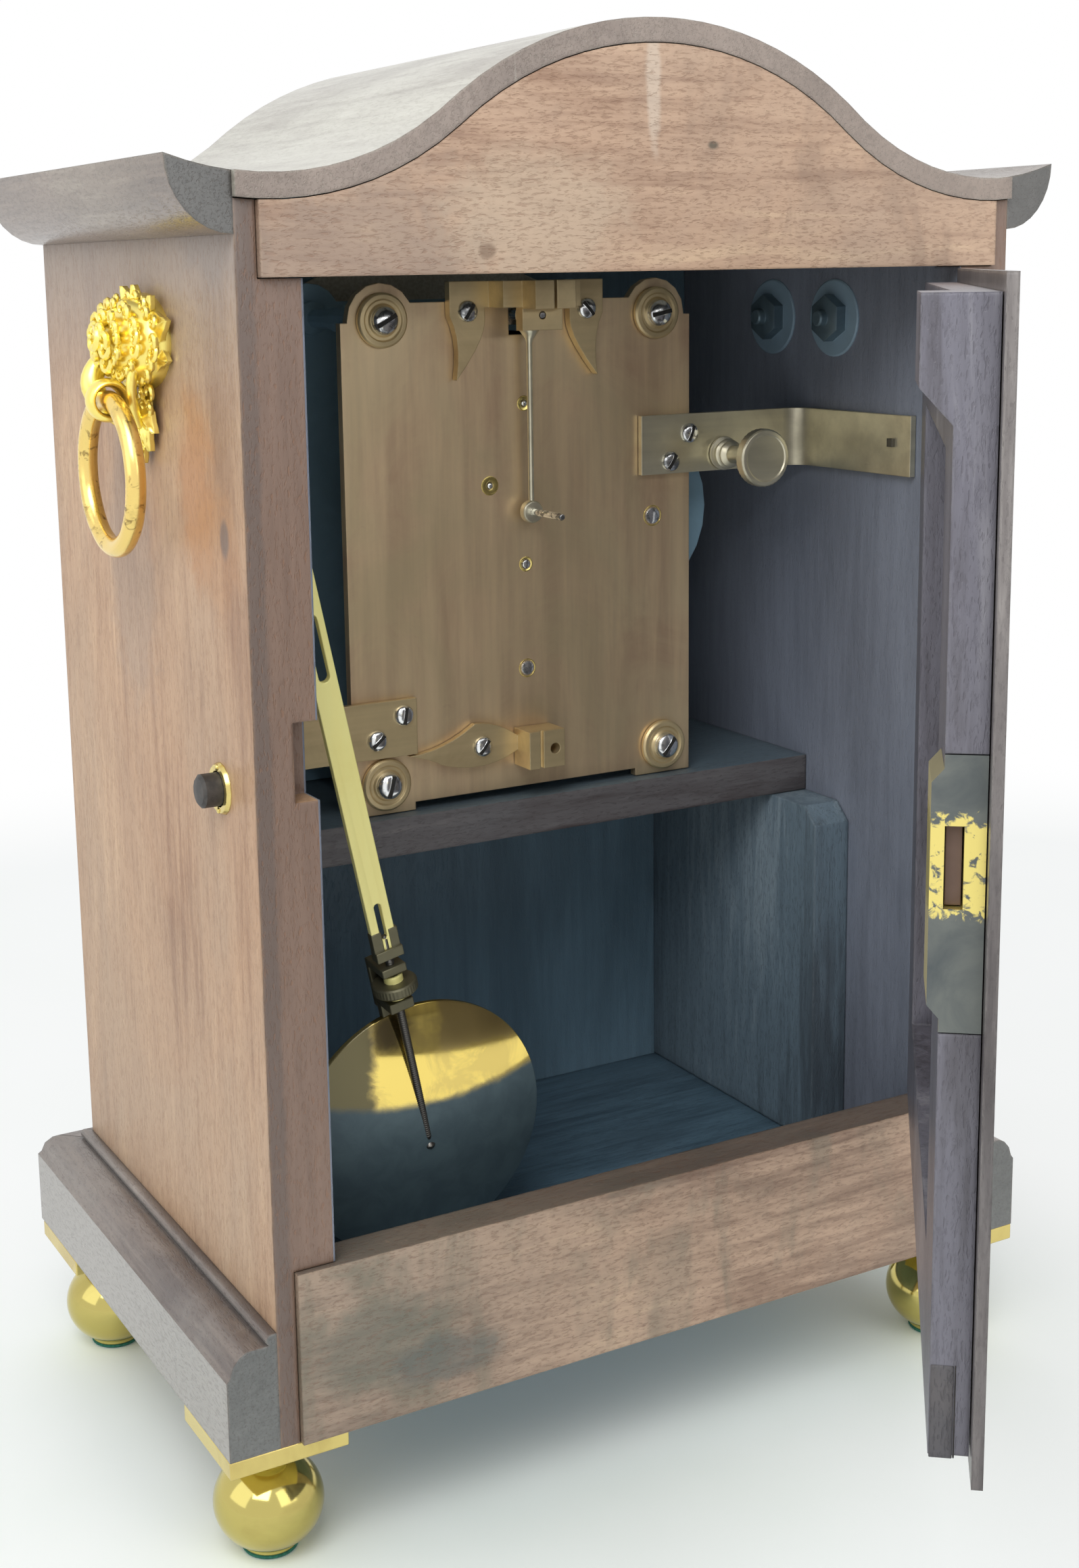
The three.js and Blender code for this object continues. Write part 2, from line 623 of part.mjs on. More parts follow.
function doorHinge(z) {
  const third = hinge.length / 3;
  const bottom = z - hinge.length / 2;
  const top = z + hinge.length / 2;
  const leafStart = relX(-doorFrameHalf);
  const leaf = box(
    leafStart, leafStart + hinge.leaf, -hinge.depth, relY(frameBack), bottom, top,
  );
  const tongue = box(
    leafStart, leafStart + hinge.leaf, relY(frameBack) - gap, -hinge.knuckle / 4,
    bottom + third, top - third,
  );
  const knuckle = rodZ(hinge.knuckle, bottom + third, top - third, 0, 0, 16);
  const bore = rodZ(hinge.pin + runningGap, bottom, top, 0, 0, 12);
  return cut(join(leaf, tongue, knuckle), bore);
}

// Front of the clock
function dialDisc() {
  const disc = rodY(dialRadius, dialFront, dialBack, 0, dialCentreZ, 40);
  const pipe = rodY(dial.pipeHole, dialFront - overrun, dialBack + overrun, 0, dialCentreZ, 12);
  const winding = rodY(dial.windingHole, dialFront - overrun, dialBack + overrun, arbors.fusee.x, arbors.fusee.z, 12);
  return cut(disc, pipe, winding);
}

const bezelBack = -halfDepth - gap;
const bezelHingeY = bezelBack - bezelHinge.stand;

function bezelRing() {
  const front = bezelBack - bezel.height;
  const width = bezelOuter - bezelSight;
  const rabbetEnd = bezelBack - bezel.rabbetDepth;
  const body = turnedY([
    [bezelRabbet, bezelBack], [bezelRabbet, rabbetEnd], [bezelSight, rabbetEnd],
    [bezelSight, rabbetEnd - bezel.lipDepth], [bezelSight + width / 3, front],
    [bezelOuter - width / 3, front + bezel.lipDepth / 4], [bezelOuter - width / 8, front + bezel.lipDepth],
    [bezelOuter, front + 2 * bezel.lipDepth], [bezelOuter, bezelBack], [bezelRabbet, bezelBack],
  ], 0, dialCentreZ, 36);
  const lugHalf = bezelHinge.lug;
  const lug = join(
    box(
      bezelOuter - bezelHinge.lug, bezelHingeX, bezelHingeY - bezelHinge.knuckle,
      bezelHingeY + bezelHinge.knuckle / 2, dialCentreZ - lugHalf, dialCentreZ + lugHalf,
    ),
    rodZ(bezelHinge.knuckle, dialCentreZ - lugHalf, dialCentreZ + lugHalf, bezelHingeX, bezelHingeY, 16),
  );
  const bore = rodZ(
    bezelHinge.pin + runningGap, dialCentreZ - bezelHinge.length, dialCentreZ + bezelHinge.length,
    bezelHingeX, bezelHingeY, 12,
  );
  return cut(join(body, lug), bore);
}

function bezelGlass() {
  const back = bezelBack - bezel.rabbetDepth + gap + glass.thickness;
  return rodY((bezelRabbet - glass.play), back - glass.thickness, back, 0, dialCentreZ, 36);
}

function bezelHingePlate() {
  const bottom = dialCentreZ - bezelHinge.length;
  const top = dialCentreZ + bezelHinge.length;
  const start = bezelHingeX - bezelHinge.knuckle;
  const base = box(start, start + bezelHinge.plateWidth, -halfDepth - bezelHinge.plate, -halfDepth, bottom, top);
  const knuckle = rodZ(bezelHinge.knuckle, bottom, top, bezelHingeX, bezelHingeY, 16);
  const cheek = box(start, bezelHingeX + bezelHinge.knuckle, bezelHingeY, -halfDepth - gap, bottom, top);
  const clearing = bezelHinge.knuckle + gap;
  const window = box(
    bezelHingeX - clearing - overrun, bezelHingeX + clearing + overrun, bezelHingeY - clearing, -halfDepth - gap,
    dialCentreZ - bezelHinge.lug - gap, dialCentreZ + bezelHinge.lug + gap,
  );
  const pin = rodZ(bezelHinge.pin, bottom, top, bezelHingeX, bezelHingeY, 12);
  return join(cut(join(base, knuckle, cheek), window), pin);
}

// Spade-shaped hand that points up from the centre
function handShape(length, width) {
  const bladeShare = [
    [0.5, 0], [0.28, 0.1], [0.24, 0.52], [0.5, 0.6], [0.62, 0.7], [0.42, 0.8], [0.16, 0.88], [0, 1],
  ];
  const right = bladeShare.map(([across, along]) => [across * width, dialCentreZ + along * length]);
  const left = bladeShare.slice(0, -1).map(([across, along]) => [-across * width, dialCentreZ + along * length]);
  return shapeOf([...right, ...left.reverse()]);
}

// Toothed wheels
function gearOutline(centre, count, pitchRadius, facing) {
  const tip = pitchRadius + tooth.addendum;
  const root = pitchRadius - tooth.dedendum;
  const flat = count < flatTippedTeeth;
  const half = tooth.tip / 2 / tip;
  const pitch = 2 * Math.PI / count;
  const points = [];
  for (let i = 0; i < count; i += 1) {
    const angle = facing + pitch * i;
    for (const turn of flat ? [-half, half] : [0]) {
      points.push([centre.x + tip * Math.cos(angle + turn), centre.z + tip * Math.sin(angle + turn)]);
    }
    const gapAngle = angle + pitch / 2;
    points.push([centre.x + root * Math.cos(gapAngle), centre.z + root * Math.sin(gapAngle)]);
  }
  return points;
}

function crossings(centre, outer, inner, turn) {
  const holes = [];
  for (let i = 0; i < wheel.arms; i += 1) {
    const start = turn + 2 * Math.PI * i / wheel.arms;
    const end = start + 2 * Math.PI / wheel.arms;
    const outerTrim = wheel.armWidth / 2 / outer;
    const innerTrim = wheel.armWidth / 2 / inner;
    const points = [
      ...arcPoints(centre.x, centre.z, outer, start + outerTrim, end - outerTrim, 4),
      ...arcPoints(centre.x, centre.z, inner, end - innerTrim, start + innerTrim, 1),
    ];
    holes.push(new THREE.Path(points.map(([x, y]) => new THREE.Vector2(x, y))));
  }
  return holes;
}

function toothedWheel(centre, count, pitchRadius, facing, y0, y1, crossed) {
  const shape = shapeOf(gearOutline(centre, count, pitchRadius, facing));
  if (crossed) {
    const outer = pitchRadius - tooth.dedendum - wheel.rim;
    shape.holes.push(...crossings(centre, outer, wheel.hub + arbor.radius, facing));
  }
  return slab(shape, y0, y1);
}

function between(from, to) {
  return { distance: Math.hypot(to.x - from.x, to.z - from.z), angle: Math.atan2(to.z - from.z, to.x - from.x) };
}

// Pitch radii and the phase that puts a leaf of the driven pinion in a gap of the wheel
function meshing(from, to, wheelTeeth, pinionLeaves) {
  const { distance, angle } = between(from, to);
  return {
    wheelRadius: distance * wheelTeeth / (wheelTeeth + pinionLeaves),
    pinionRadius: distance * pinionLeaves / (wheelTeeth + pinionLeaves),
    wheelFacing: angle + Math.PI / wheelTeeth,
    pinionFacing: angle + Math.PI,
  };
}

const greatMesh = meshing(arbors.fusee, arbors.centre, teeth.great, teeth.centrePinion);
const centreMesh = meshing(arbors.centre, arbors.third, teeth.centre, teeth.thirdPinion);
const thirdMesh = meshing(arbors.third, arbors.escape, teeth.third, teeth.escapePinion);

// An arbor between the plates, with a pivot in each
function plainArbor(centre, radius, pivot) {
  const inset = 2 * gap;
  const plateFace = plateBack - plate.thickness;
  return turnedY([
    [0, frontPlateFront], [pivot, frontPlateFront], [pivot, frontPlateBack + inset], [radius, frontPlateBack + inset],
    [radius, plateFace - inset], [pivot, plateFace - inset], [pivot, plateBack], [0, plateBack],
  ], centre.x, centre.z, 8);
}

function pinion(centre, leaves, radius, facing, middle) {
  const half = arbor.pinionLength / 2;
  return toothedWheel(centre, leaves, radius, facing, middle - half, middle + half, false);
}

function centreWheel() {
  const middle = levels.great + wheel.thickness / 2;
  const frontEnd = minuteY - 2 * minuteHand.thickness;
  return join(
    plainArbor(arbors.centre, arbor.radius, arbor.radius - gap),
    rodY(arbor.radius - gap, frontEnd, frontPlateBack + overrun, arbors.centre.x, arbors.centre.z),
    toothedWheel(
      arbors.centre, teeth.centre, centreMesh.wheelRadius, centreMesh.wheelFacing,
      levels.centre, levels.centre + wheel.thickness, true,
    ),
    pinion(arbors.centre, teeth.centrePinion, greatMesh.pinionRadius, greatMesh.pinionFacing, middle),
  );
}

function thirdWheel() {
  const middle = levels.centre + wheel.thickness / 2;
  return join(
    plainArbor(arbors.third, arbor.radius, arbor.pivot),
    toothedWheel(
      arbors.third, teeth.third, thirdMesh.wheelRadius, thirdMesh.wheelFacing,
      levels.third, levels.third + wheel.thickness, true,
    ),
    pinion(arbors.third, teeth.thirdPinion, centreMesh.pinionRadius, centreMesh.pinionFacing, middle),
  );
}

function escapeWheelPiece() {
  const { x, z } = arbors.escape;
  const pitch = 2 * Math.PI / teeth.escape;
  const root = escapeWheel.radius - escapeWheel.depth;
  const points = [];
  for (let i = 0; i < teeth.escape; i += 1) {
    const angle = Math.PI / 2 + pitch * i;
    points.push([x + escapeWheel.radius * Math.cos(angle), z + escapeWheel.radius * Math.sin(angle)]);
    points.push([x + root * Math.cos(angle + pitch / 4), z + root * Math.sin(angle + pitch / 4)]);
    points.push([x + root * Math.cos(angle + pitch * 3 / 4), z + root * Math.sin(angle + pitch * 3 / 4)]);
  }
  const shape = shapeOf(points);
  shape.holes.push(...crossings(arbors.escape, root - wheel.rim / 2, wheel.hub, 0));
  const middle = levels.third + wheel.thickness / 2;
  return join(
    plainArbor(arbors.escape, arbor.radius, arbor.pivot),
    slab(shape, levels.escape, levels.escape + wheel.thickness),
    pinion(arbors.escape, teeth.escapePinion, thirdMesh.pinionRadius, thirdMesh.pinionFacing, middle),
  );
}

function fuseePiece() {
  const { x, z } = arbors.fusee;
  const front = levels.great + wheel.thickness;
  const fuseeBack = plateBack - fusee.backDepth;
  const length = fuseeBack - front;
  const cone = [[0, front - gap], [fusee.large, front - gap]];
  for (let i = 0; i < fuseeTurnCount; i += 1) {
    const share = i / fuseeTurnCount;
    const radius = fusee.large + (fusee.small - fusee.large) * Math.sqrt(share);
    const start = front + length * share;
    const pitch = length / fuseeTurnCount;
    cone.push([radius, start + pitch / 4]);
    cone.push([radius - pitch / 3, start + pitch * 3 / 4]);
  }
  cone.push([fusee.small - gap, fuseeBack], [0, fuseeBack]);
  const half = fusee.square / 2;
  return join(
    plainArbor(arbors.fusee, fusee.arbor, fusee.pivot),
    turnedY(cone, x, z, 16),
    toothedWheel(
      arbors.fusee, teeth.great, greatMesh.wheelRadius, greatMesh.wheelFacing,
      levels.great, levels.great + wheel.thickness, false,
    ),
    rodY(fusee.pivot, frontPlateFront - 2 * gap, frontPlateFront + gap, x, z, 8),
    box(x - half, x + half, plateBack - fusee.squareReach, frontPlateFront - gap, z - half, z + half),
  );
}

function barrelPiece() {
  const { x, z } = arbors.barrel;
  const { radius, flange } = barrel;
  const front = plateBack - barrel.frontDepth;
  const back = plateBack - barrel.backDepth;
  const drum = turnedY([
    [0, front], [radius, front], [radius, front + flange], [radius - flange, front + flange],
    [radius - flange, back - flange], [radius, back - flange], [radius, back], [0, back],
  ], x, z, 28);
  return join(plainArbor(arbors.barrel, barrel.arbor, barrel.pivot), drum);
}

function crutchPiece() {
  const { x, z } = arbors.pallet;
  const nibRadius = escapeWheel.radius + pallets.clearance;
  const spread = Math.PI * palletSpanTeeth / teeth.escape;
  const wheelZ = arbors.escape.z;
  const nib = (side) => {
    const angle = Math.PI / 2 - side * spread;
    const edge = pallets.nib / nibRadius;
    const at = (radius, turn) => [
      x + radius * Math.cos(angle + turn), wheelZ + radius * Math.sin(angle + turn),
    ];
    return [at(nibRadius, side * edge / 2), at(nibRadius, -side * edge / 2), at(nibRadius + pallets.arm, -side * edge)];
  };
  const right = nib(1);
  const left = nib(-1);
  const anchor = shapeOf([
    [x - pallets.arm, z], left[2], left[1], left[0],
    [x, z - pallets.arm], right[0], right[1], right[2],
    [x + pallets.arm, z], [x, z + pallets.arm],
  ]);
  const half = pallets.thickness / 2;
  const arborFront = frontPlateFront;
  const bridgeEnd = bridgeFront + cock.bridge;
  const shaft = turnedY([
    [0, arborFront], [arbor.pivot, arborFront], [arbor.pivot, frontPlateBack + 2 * gap],
    [arbor.radius, frontPlateBack + 2 * gap], [arbor.radius, bridgeFront - gap],
    [arbor.pivot, bridgeFront - gap], [arbor.pivot, bridgeEnd], [0, bridgeEnd],
  ], x, z, 12);
  const bossZ = crutch.footZ;
  return join(
    slab(anchor, levels.pallets - half, levels.pallets + half),
    shaft,
    rodY(crutch.collet, crutchY - crutch.rod * 2, crutchY + crutch.rod * 2, x, z - crutch.rod, 14),
    rodZ(crutch.rod, bossZ, z, x, crutchY, 10),
    rodY(crutch.boss, crutchY - crutch.bossLength / 2, crutchY + crutch.bossLength / 2, x, bossZ, 16),
    rodY(crutch.pin, crutchY, crutchY + crutch.pinLength, x, bossZ, 12),
  );
}

// Motion work between the front plate and the dial
const cannonRadius = motion.distance / 2;
const minuteArbor = { x: arbors.centre.x + motion.distance, z: arbors.centre.z };
const hourMesh = meshing(arbors.centre, minuteArbor, motion.hourTeeth, motion.pinionLeaves);
const cannonLevel = frontPlateFront - 2 * gap - motion.thickness;
const hourLevel = cannonLevel - 2 * motion.thickness;

function minuteHandPiece() {
  const inner = arbor.radius - gap + runningGap;
  const outer = inner + 1.2 * gap * 2;
  const facing = Math.PI / motion.cannonTeeth;
  const blade = slab(handShape(minuteLength, minuteHand.width), minuteY, minuteY + minuteHand.thickness);
  const boss = rodY(minuteHand.width / 2, minuteY, minuteY + minuteHand.thickness, 0, dialCentreZ, 16);
  const pipe = rodY(outer, minuteY, cannonLevel + motion.thickness, 0, dialCentreZ, 12);
  const cannon = toothedWheel(
    arbors.centre, motion.cannonTeeth, cannonRadius, facing, cannonLevel, cannonLevel + motion.thickness, false,
  );
  const bore = rodY(inner, minuteY - overrun, frontPlateFront, 0, dialCentreZ, 12);
  return cut(join(blade, boss, pipe, cannon), bore);
}

function hourHandPiece() {
  const inner = arbor.radius + runningGap + 3 * gap;
  const outer = inner + 3 * gap;
  const blade = slab(handShape(hourLengthShare * minuteLength, hourHand.width), hourY, hourY + hourHand.thickness);
  const boss = rodY(hourHand.width / 2, hourY, hourY + hourHand.thickness, 0, dialCentreZ, 16);
  const pipe = rodY(outer, hourY, hourLevel + motion.thickness, 0, dialCentreZ, 12);
  const hourWheel = toothedWheel(
    arbors.centre, motion.hourTeeth, hourMesh.wheelRadius, hourMesh.wheelFacing,
    hourLevel, hourLevel + motion.thickness, false,
  );
  const bore = rodY(inner, hourY - overrun, frontPlateFront, 0, dialCentreZ, 12);
  return cut(join(blade, boss, pipe, hourWheel), bore);
}

function minuteWheelPiece() {
  const { x, z } = minuteArbor;
  return join(
    toothedWheel(
      minuteArbor, motion.cannonTeeth, cannonRadius, 0, cannonLevel, cannonLevel + motion.thickness, false,
    ),
    toothedWheel(
      minuteArbor, motion.pinionLeaves, hourMesh.pinionRadius, hourMesh.pinionFacing,
      hourLevel - gap, cannonLevel + gap, false,
    ),
    rodY(arbor.pivot, hourLevel - motion.thickness, frontPlateBack - gap, x, z),
  );
}

// Plates
function plateOutline(withFeet) {
  const { halfWidth: half, bottom, shoulder, top } = plate;
  const start = Math.asin((top - ear.z) / ear.radius);
  const rightEar = arcPoints(ear.x, ear.z, ear.radius, 0, Math.PI - start, 7);
  const leftEar = rightEar.map(([x, z]) => [-x, z]).reverse();
  const footLine = withFeet
    ? [
      [-half, bottom], [-plateFoot.inner, bottom], [-plateFoot.inner, bottom + plateFoot.notch],
      [plateFoot.inner, bottom + plateFoot.notch], [plateFoot.inner, bottom], [half, bottom],
    ]
    : [[-half, bottom], [half, bottom]];
  return shapeOf([
    ...footLine, [half, shoulder], [ear.x + ear.radius, shoulder], ...rightEar,
    ...leftEar, [-ear.x - ear.radius, shoulder], [-half, shoulder],
  ]);
}

const pivotHoles = (y0, y1) => [
  [arbors.escape, arbor.pivot], [arbors.third, arbor.pivot], [arbors.centre, arbor.radius - gap],
  [arbors.fusee, fusee.pivot], [arbors.barrel, barrel.pivot],
].map(([place, radius]) => rodY(radius + runningGap, y0 - overrun, y1 + overrun, place.x, place.z, 8));

const pillarPlaces = [
  ['upper_left', ear.x, ear.z], ['upper_right', -ear.x, ear.z],
  ['lower_left', pillar.x, pillar.z], ['lower_right', -pillar.x, pillar.z],
];

function backPlate() {
  const front = plateBack - plate.thickness;
  const notch = box(
    -arborNotch.halfWidth, arborNotch.halfWidth, front - overrun, plateBack + overrun,
    arborNotch.bottom, plate.top + overrun,
  );
  const screwHoles = pillarPlaces.map(([, x, z]) => (
    rodY(screw.thread + gap, front - overrun, plateBack + overrun, x, z, 12)
  ));
  return cut(slab(plateOutline(true), front, plateBack), notch, ...screwHoles, ...pivotHoles(front, plateBack));
}

function pillarPiece(x, z) {
  const start = frontPlateBack - gap;
  const end = frontPlateBack + pillar.length;
  const along = (share) => frontPlateBack + pillar.length * share;
  const body = turnedY([
    [0, start], [pillar.collar, start], [pillar.collar, along(0.06)], [pillar.waist, along(0.12)],
    [pillar.waist, along(0.36)], [pillar.belly, along(0.5)], [pillar.waist, along(0.64)],
    [pillar.waist, along(0.88)], [pillar.collar, along(0.94)], [pillar.collar, end], [0, end],
  ], x, z, 10);
  const bore = rodY(pillar.bore, end - threadLength - gap, end + overrun, x, z, 8);
  return cut(body, bore);
}

function frontPlate() {
  const blank = cut(
    slab(plateOutline(false), frontPlateFront, frontPlateBack),
    ...pivotHoles(frontPlateFront, frontPlateBack),
    rodY(arbor.pivot + runningGap, frontPlateFront - overrun, frontPlateBack + overrun, arbors.pallet.x, arbors.pallet.z, 12),
    rodY(arbor.pivot + runningGap, frontPlateFront - overrun, frontPlateBack + overrun, minuteArbor.x, minuteArbor.z, 12),
  );
  return join(blank, ...pillarPlaces.map(([, x, z]) => pillarPiece(x, z)));
}

function pillarScrew(x, z) {
  const seatY = plateBack + gap;
  const washerTop = seatY + screw.washerThickness;
  const headTop = washerTop + screw.headThickness;
  const body = turnedY([
    [0, plateBack - threadLength], [screw.thread, plateBack - threadLength], [screw.thread, seatY],
    [screw.washer, seatY], [screw.washer, seatY + screw.washerThickness / 2],
    [screw.washer * 0.72, washerTop], [screw.head, washerTop - gap],
    [screw.head, headTop - screw.headThickness / 4], [screw.head * 0.8, headTop], [0, headTop],
  ], x, z, 12);
  const slot = box(
    x - screw.head - overrun, x + screw.head + overrun, headTop - screw.slotDepth, headTop + overrun,
    z - screw.slot / 2, z + screw.slot / 2,
  );
  return cut(body, slot);
}

// Suspension cock: two leaf-shaped feet, arms and a bridge with the suspension block
function cockPiece() {
  const start = plateBack + gap;
  const footBack = start + cock.foot;
  const footSide = (side) => {
    const shape = new THREE.Shape();
    const inner = cock.screwX - cock.width / 2;
    const outer = cock.screwX + cock.width / 2;
    shape.moveTo(side * inner, cock.top);
    shape.lineTo(side * inner, cock.top - cock.width);
    shape.quadraticCurveTo(side * inner, cock.tipZ + cock.width, side * cock.tipX, cock.tipZ);
    shape.quadraticCurveTo(side * (cock.tipX - cock.width / 6), cock.tipZ + cock.width, side * outer, cock.tipZ + 1.6 * cock.width);
    shape.lineTo(side * outer, cock.top);
    return slab(shape, start, footBack, 5);
  };
  const bridgeBack = bridgeFront + cock.bridge;
  const armInner = cockBlock.halfWidth + 2 * gap;
  const arm = (side) => {
    const near = side * armInner;
    const far = side * (cock.screwX - cock.width / 2 + overrun);
    const low = Math.min(near, far);
    const high = Math.max(near, far);
    return join(
      box(low, high, start, footBack, cockBlock.armBottom, cock.top),
      box(Math.min(near, near + side * cockBlock.armWidth), Math.max(near, near + side * cockBlock.armWidth),
        start, bridgeBack, cockBlock.armBottom, cock.top),
    );
  };
  const bridge = join(
    box(-armInner - overrun, armInner + overrun, bridgeFront, bridgeBack, cockBlock.armBottom, cock.top),
    box(-cockBlock.halfWidth, cockBlock.halfWidth, bridgeFront, bridgeBack, cockBlock.bridgeBottom, cock.top),
    box(-cockBlock.halfWidth, cockBlock.halfWidth, bridgeBack - gap, bridgeBack + cockBlock.depth,
      cockBlock.bottom, cock.top),
  );
  const slit = box(
    -cockBlock.slit / 2, cockBlock.slit / 2, bridgeBack + overrun, bridgeBack + cockBlock.depth + overrun,
    cockBlock.bottom - overrun, cock.top + overrun,
  );
  const pivot = rodY(
    arbor.pivot + runningGap, bridgeFront - overrun, bridgeBack + cockBlock.depth + overrun,
    arbors.pallet.x, arbors.pallet.z, 12,
  );
  return cut(join(footSide(1), footSide(-1), arm(1), arm(-1), bridge), slit, pivot);
}

function holdfastPiece() {
  const start = plateBack + gap;
  const shape = new THREE.Shape();
  const half = holdfast.height / 2;
  const middle = (holdfast.tipX + holdfast.endX) / 2;
  shape.moveTo(holdfast.tipX, holdfast.z);
  shape.quadraticCurveTo(middle + half, holdfast.z, middle - half / 2, holdfast.z + half);
  shape.quadraticCurveTo(holdfast.endX + half, holdfast.z + half, holdfast.endX, holdfast.z + half / 4);
  shape.lineTo(holdfast.endX, holdfast.z - half / 3);
  shape.quadraticCurveTo(middle - half, holdfast.z - half * 1.2, middle + half, holdfast.z - half * 0.6);
  shape.quadraticCurveTo(holdfast.tipX - half, holdfast.z - half / 4, holdfast.tipX, holdfast.z);
  const block = box(
    -holdfast.blockReach, holdfast.endX + gap, start, start + holdfastBlock.depth,
    holdfastBlock.bottom, holdfastBlock.top,
  );
  const groove = box(
    holdfastBlock.grooveX - holdfastBlock.groove / 2, holdfastBlock.grooveX + holdfastBlock.groove / 2,
    start + holdfastBlock.depth - holdfastBlock.groove, start + holdfastBlock.depth + overrun,
    holdfastBlock.bottom - overrun, holdfastBlock.top + overrun,
  );
  const hole = rodY(
    holdfastBlock.hole, start - overrun, start + holdfastBlock.depth + overrun,
    -holdfastBlock.holeReach, (holdfastBlock.bottom + holdfastBlock.top) / 2, 16,
  );
  return cut(join(slab(shape, start, start + holdfast.thickness, 6), block), groove, hole);
}

// A strap screwed to the back plate that bends round to lie along the case wall
function wallStrap(startX, wallEnd, bottom, top, side) {
  const start = plateBack + gap;
  const outerX = wallInner - gap;
  const { thickness, cornerRadius: bend } = strap;
  const centre = [outerX - bend, start + bend];
  const outer = arcPoints(centre[0], centre[1], bend, -Math.PI / 2, 0, 6);
  const inner = arcPoints(centre[0], centre[1], bend - thickness, 0, -Math.PI / 2, 6);
  const shape = shapeOf([
    [startX, start], ...outer, [outerX, wallEnd], [outerX - thickness, wallEnd], ...inner,
    [startX, start + thickness],
  ]);
  const geometry = new THREE.ExtrudeGeometry(shape, { depth: top - bottom, bevelEnabled: false });
  geometry.translate(0, 0, bottom);
  return side > 0 ? geometry : mirrored(geometry);
}

function highStrap() {
  const blank = wallStrap(strapEnds.highStart, halfDepth - strapEnds.highInset, strap.highBottom, strap.highTop, -1);
  return cut(blank, rodY(thumb.hole, plateBack - overrun, plateBack + strap.thickness + overrun, thumbX, thumb.z, 14));
}

function thumbScrew() {
  const collarStart = plateBack + strap.thickness + 2 * gap;
  const collarEnd = collarStart + thumb.collarLength;
  const thumbHeadFront = plateBack + thumbReach.head;
  const headEnd = thumbHeadFront + thumb.headThickness;
  return turnedY([
    [0, plateBack - thumbReach.tip], [thumb.shank, plateBack - thumbReach.tip], [thumb.shank, collarStart], [thumb.collar, collarStart],
    [thumb.collar, collarStart + thumb.collarLength / 4], [thumb.neck, collarStart + thumb.collarLength / 3],
    [thumb.collar - gap, collarStart + thumb.collarLength / 2], [thumb.collar - gap, collarEnd - 2 * gap],
    [thumb.neck, collarEnd], [thumb.neck, thumbHeadFront - thumb.neck], [thumb.head * 0.7, thumbHeadFront],
    [thumb.head, thumbHeadFront], [thumb.head, headEnd - gap], [thumb.head - 2 * gap, headEnd], [0, headEnd],
  ], thumbX, thumb.z, 16);
}

// Pendulum pieces, drawn upright with the nut at the origin of their group
function pendulumRod() {
  const halfT = rod.thickness / 2;
  const strip = box(-rod.halfWidth, rod.halfWidth, -halfT, halfT, rod.start, rod.end);
  const slots = [crutchSlot, rodSlot].map((slot) => (
    box(-slot.halfWidth, slot.halfWidth, -halfT - overrun, halfT + overrun, slot.start, slot.end)
  ));
  const block = box(
    -yoke.halfWidth, yoke.halfWidth, -yoke.thickness / 2, yoke.thickness / 2, yoke.start, yoke.end,
  );
  const tipTop = screwRod.tipLength - screwRod.reach;
  return join(
    cut(strip, ...slots),
    block,
    box(-spring.halfWidth, spring.halfWidth, -spring.thickness / 2, spring.thickness / 2, rod.end - gap, spring.end),
    box(-spring.halfWidth, spring.halfWidth, -spring.blockThickness / 2, spring.blockThickness / 2,
      spring.end - gap, spring.blockEnd),
    turnedZ([
      [0, -screwRod.reach], [screwRod.tip / 2, -screwRod.reach], [screwRod.tip, tipTop - screwRod.tipLength / 2],
      [screwRod.tip, tipTop], [screwRod.neck, tipTop], [screwRod.neck, tipTop + screwRod.neck],
      [screwRod.radius, tipTop + 2 * screwRod.neck], [screwRod.radius, yoke.start + gap], [0, yoke.start + gap],
    ], 0, 0, 12),
  );
}

const bobCentre = -bob.drop;

function pendulumBob() {
  const steps = 4;
  const lens = Array.from({ length: steps + 1 }, (_, i) => {
    const share = i / steps;
    return [bob.radius * share, bob.rim + (bob.halfThickness - bob.rim) * (1 - share ** 2)];
  });
  const profile = [
    ...lens.map(([radius, along]) => [radius, -along]),
    ...lens.map(([radius, along]) => [radius, along]).reverse(),
  ];
  const disc = turnedY(profile, 0, bobCentre, 32).translate(0, -bob.forward, 0);
  const bobTop = bobCentre + bob.radius;
  const lower = -stirrup.half - stirrup.plate;
  const frame = join(
    box(-stirrup.halfWidth, stirrup.halfWidth, -stirrup.depth / 2, stirrup.depth / 2, lower, -stirrup.half),
    box(-stirrup.halfWidth, stirrup.halfWidth, -stirrup.depth / 2, stirrup.depth / 2,
      stirrup.half, stirrup.half + stirrup.plate),
    box(-stirrup.halfWidth, stirrup.halfWidth, -stirrup.depth / 2 - ratingNut.radius - stirrup.post,
      -ratingNut.radius - gap, lower - stirrup.plate, stirrup.half + stirrup.plate),
  );
  const arms = [lower, stirrup.half].map((bottom) => box(
    -stirrup.halfWidth, stirrup.halfWidth, -ratingNut.radius - stirrup.post, 0, bottom, bottom + stirrup.plate,
  ));
  const tail = box(
    -stirrup.halfWidth, stirrup.halfWidth, -bob.forward - stirrup.post, -bob.forward + bob.rim,
    bobCentre + bob.radius * 0.75, lower + gap,
  );
  const bore = rodZ(stirrup.bore, lower - overrun, stirrup.half + 2 * stirrup.plate, 0, 0, 12);
  const channel = rodZ(bob.channel, -screwRod.reach - bob.radius, bobTop + overrun, 0, 0, 12);
  return cut(join(disc, frame, ...arms, tail), bore, channel);
}

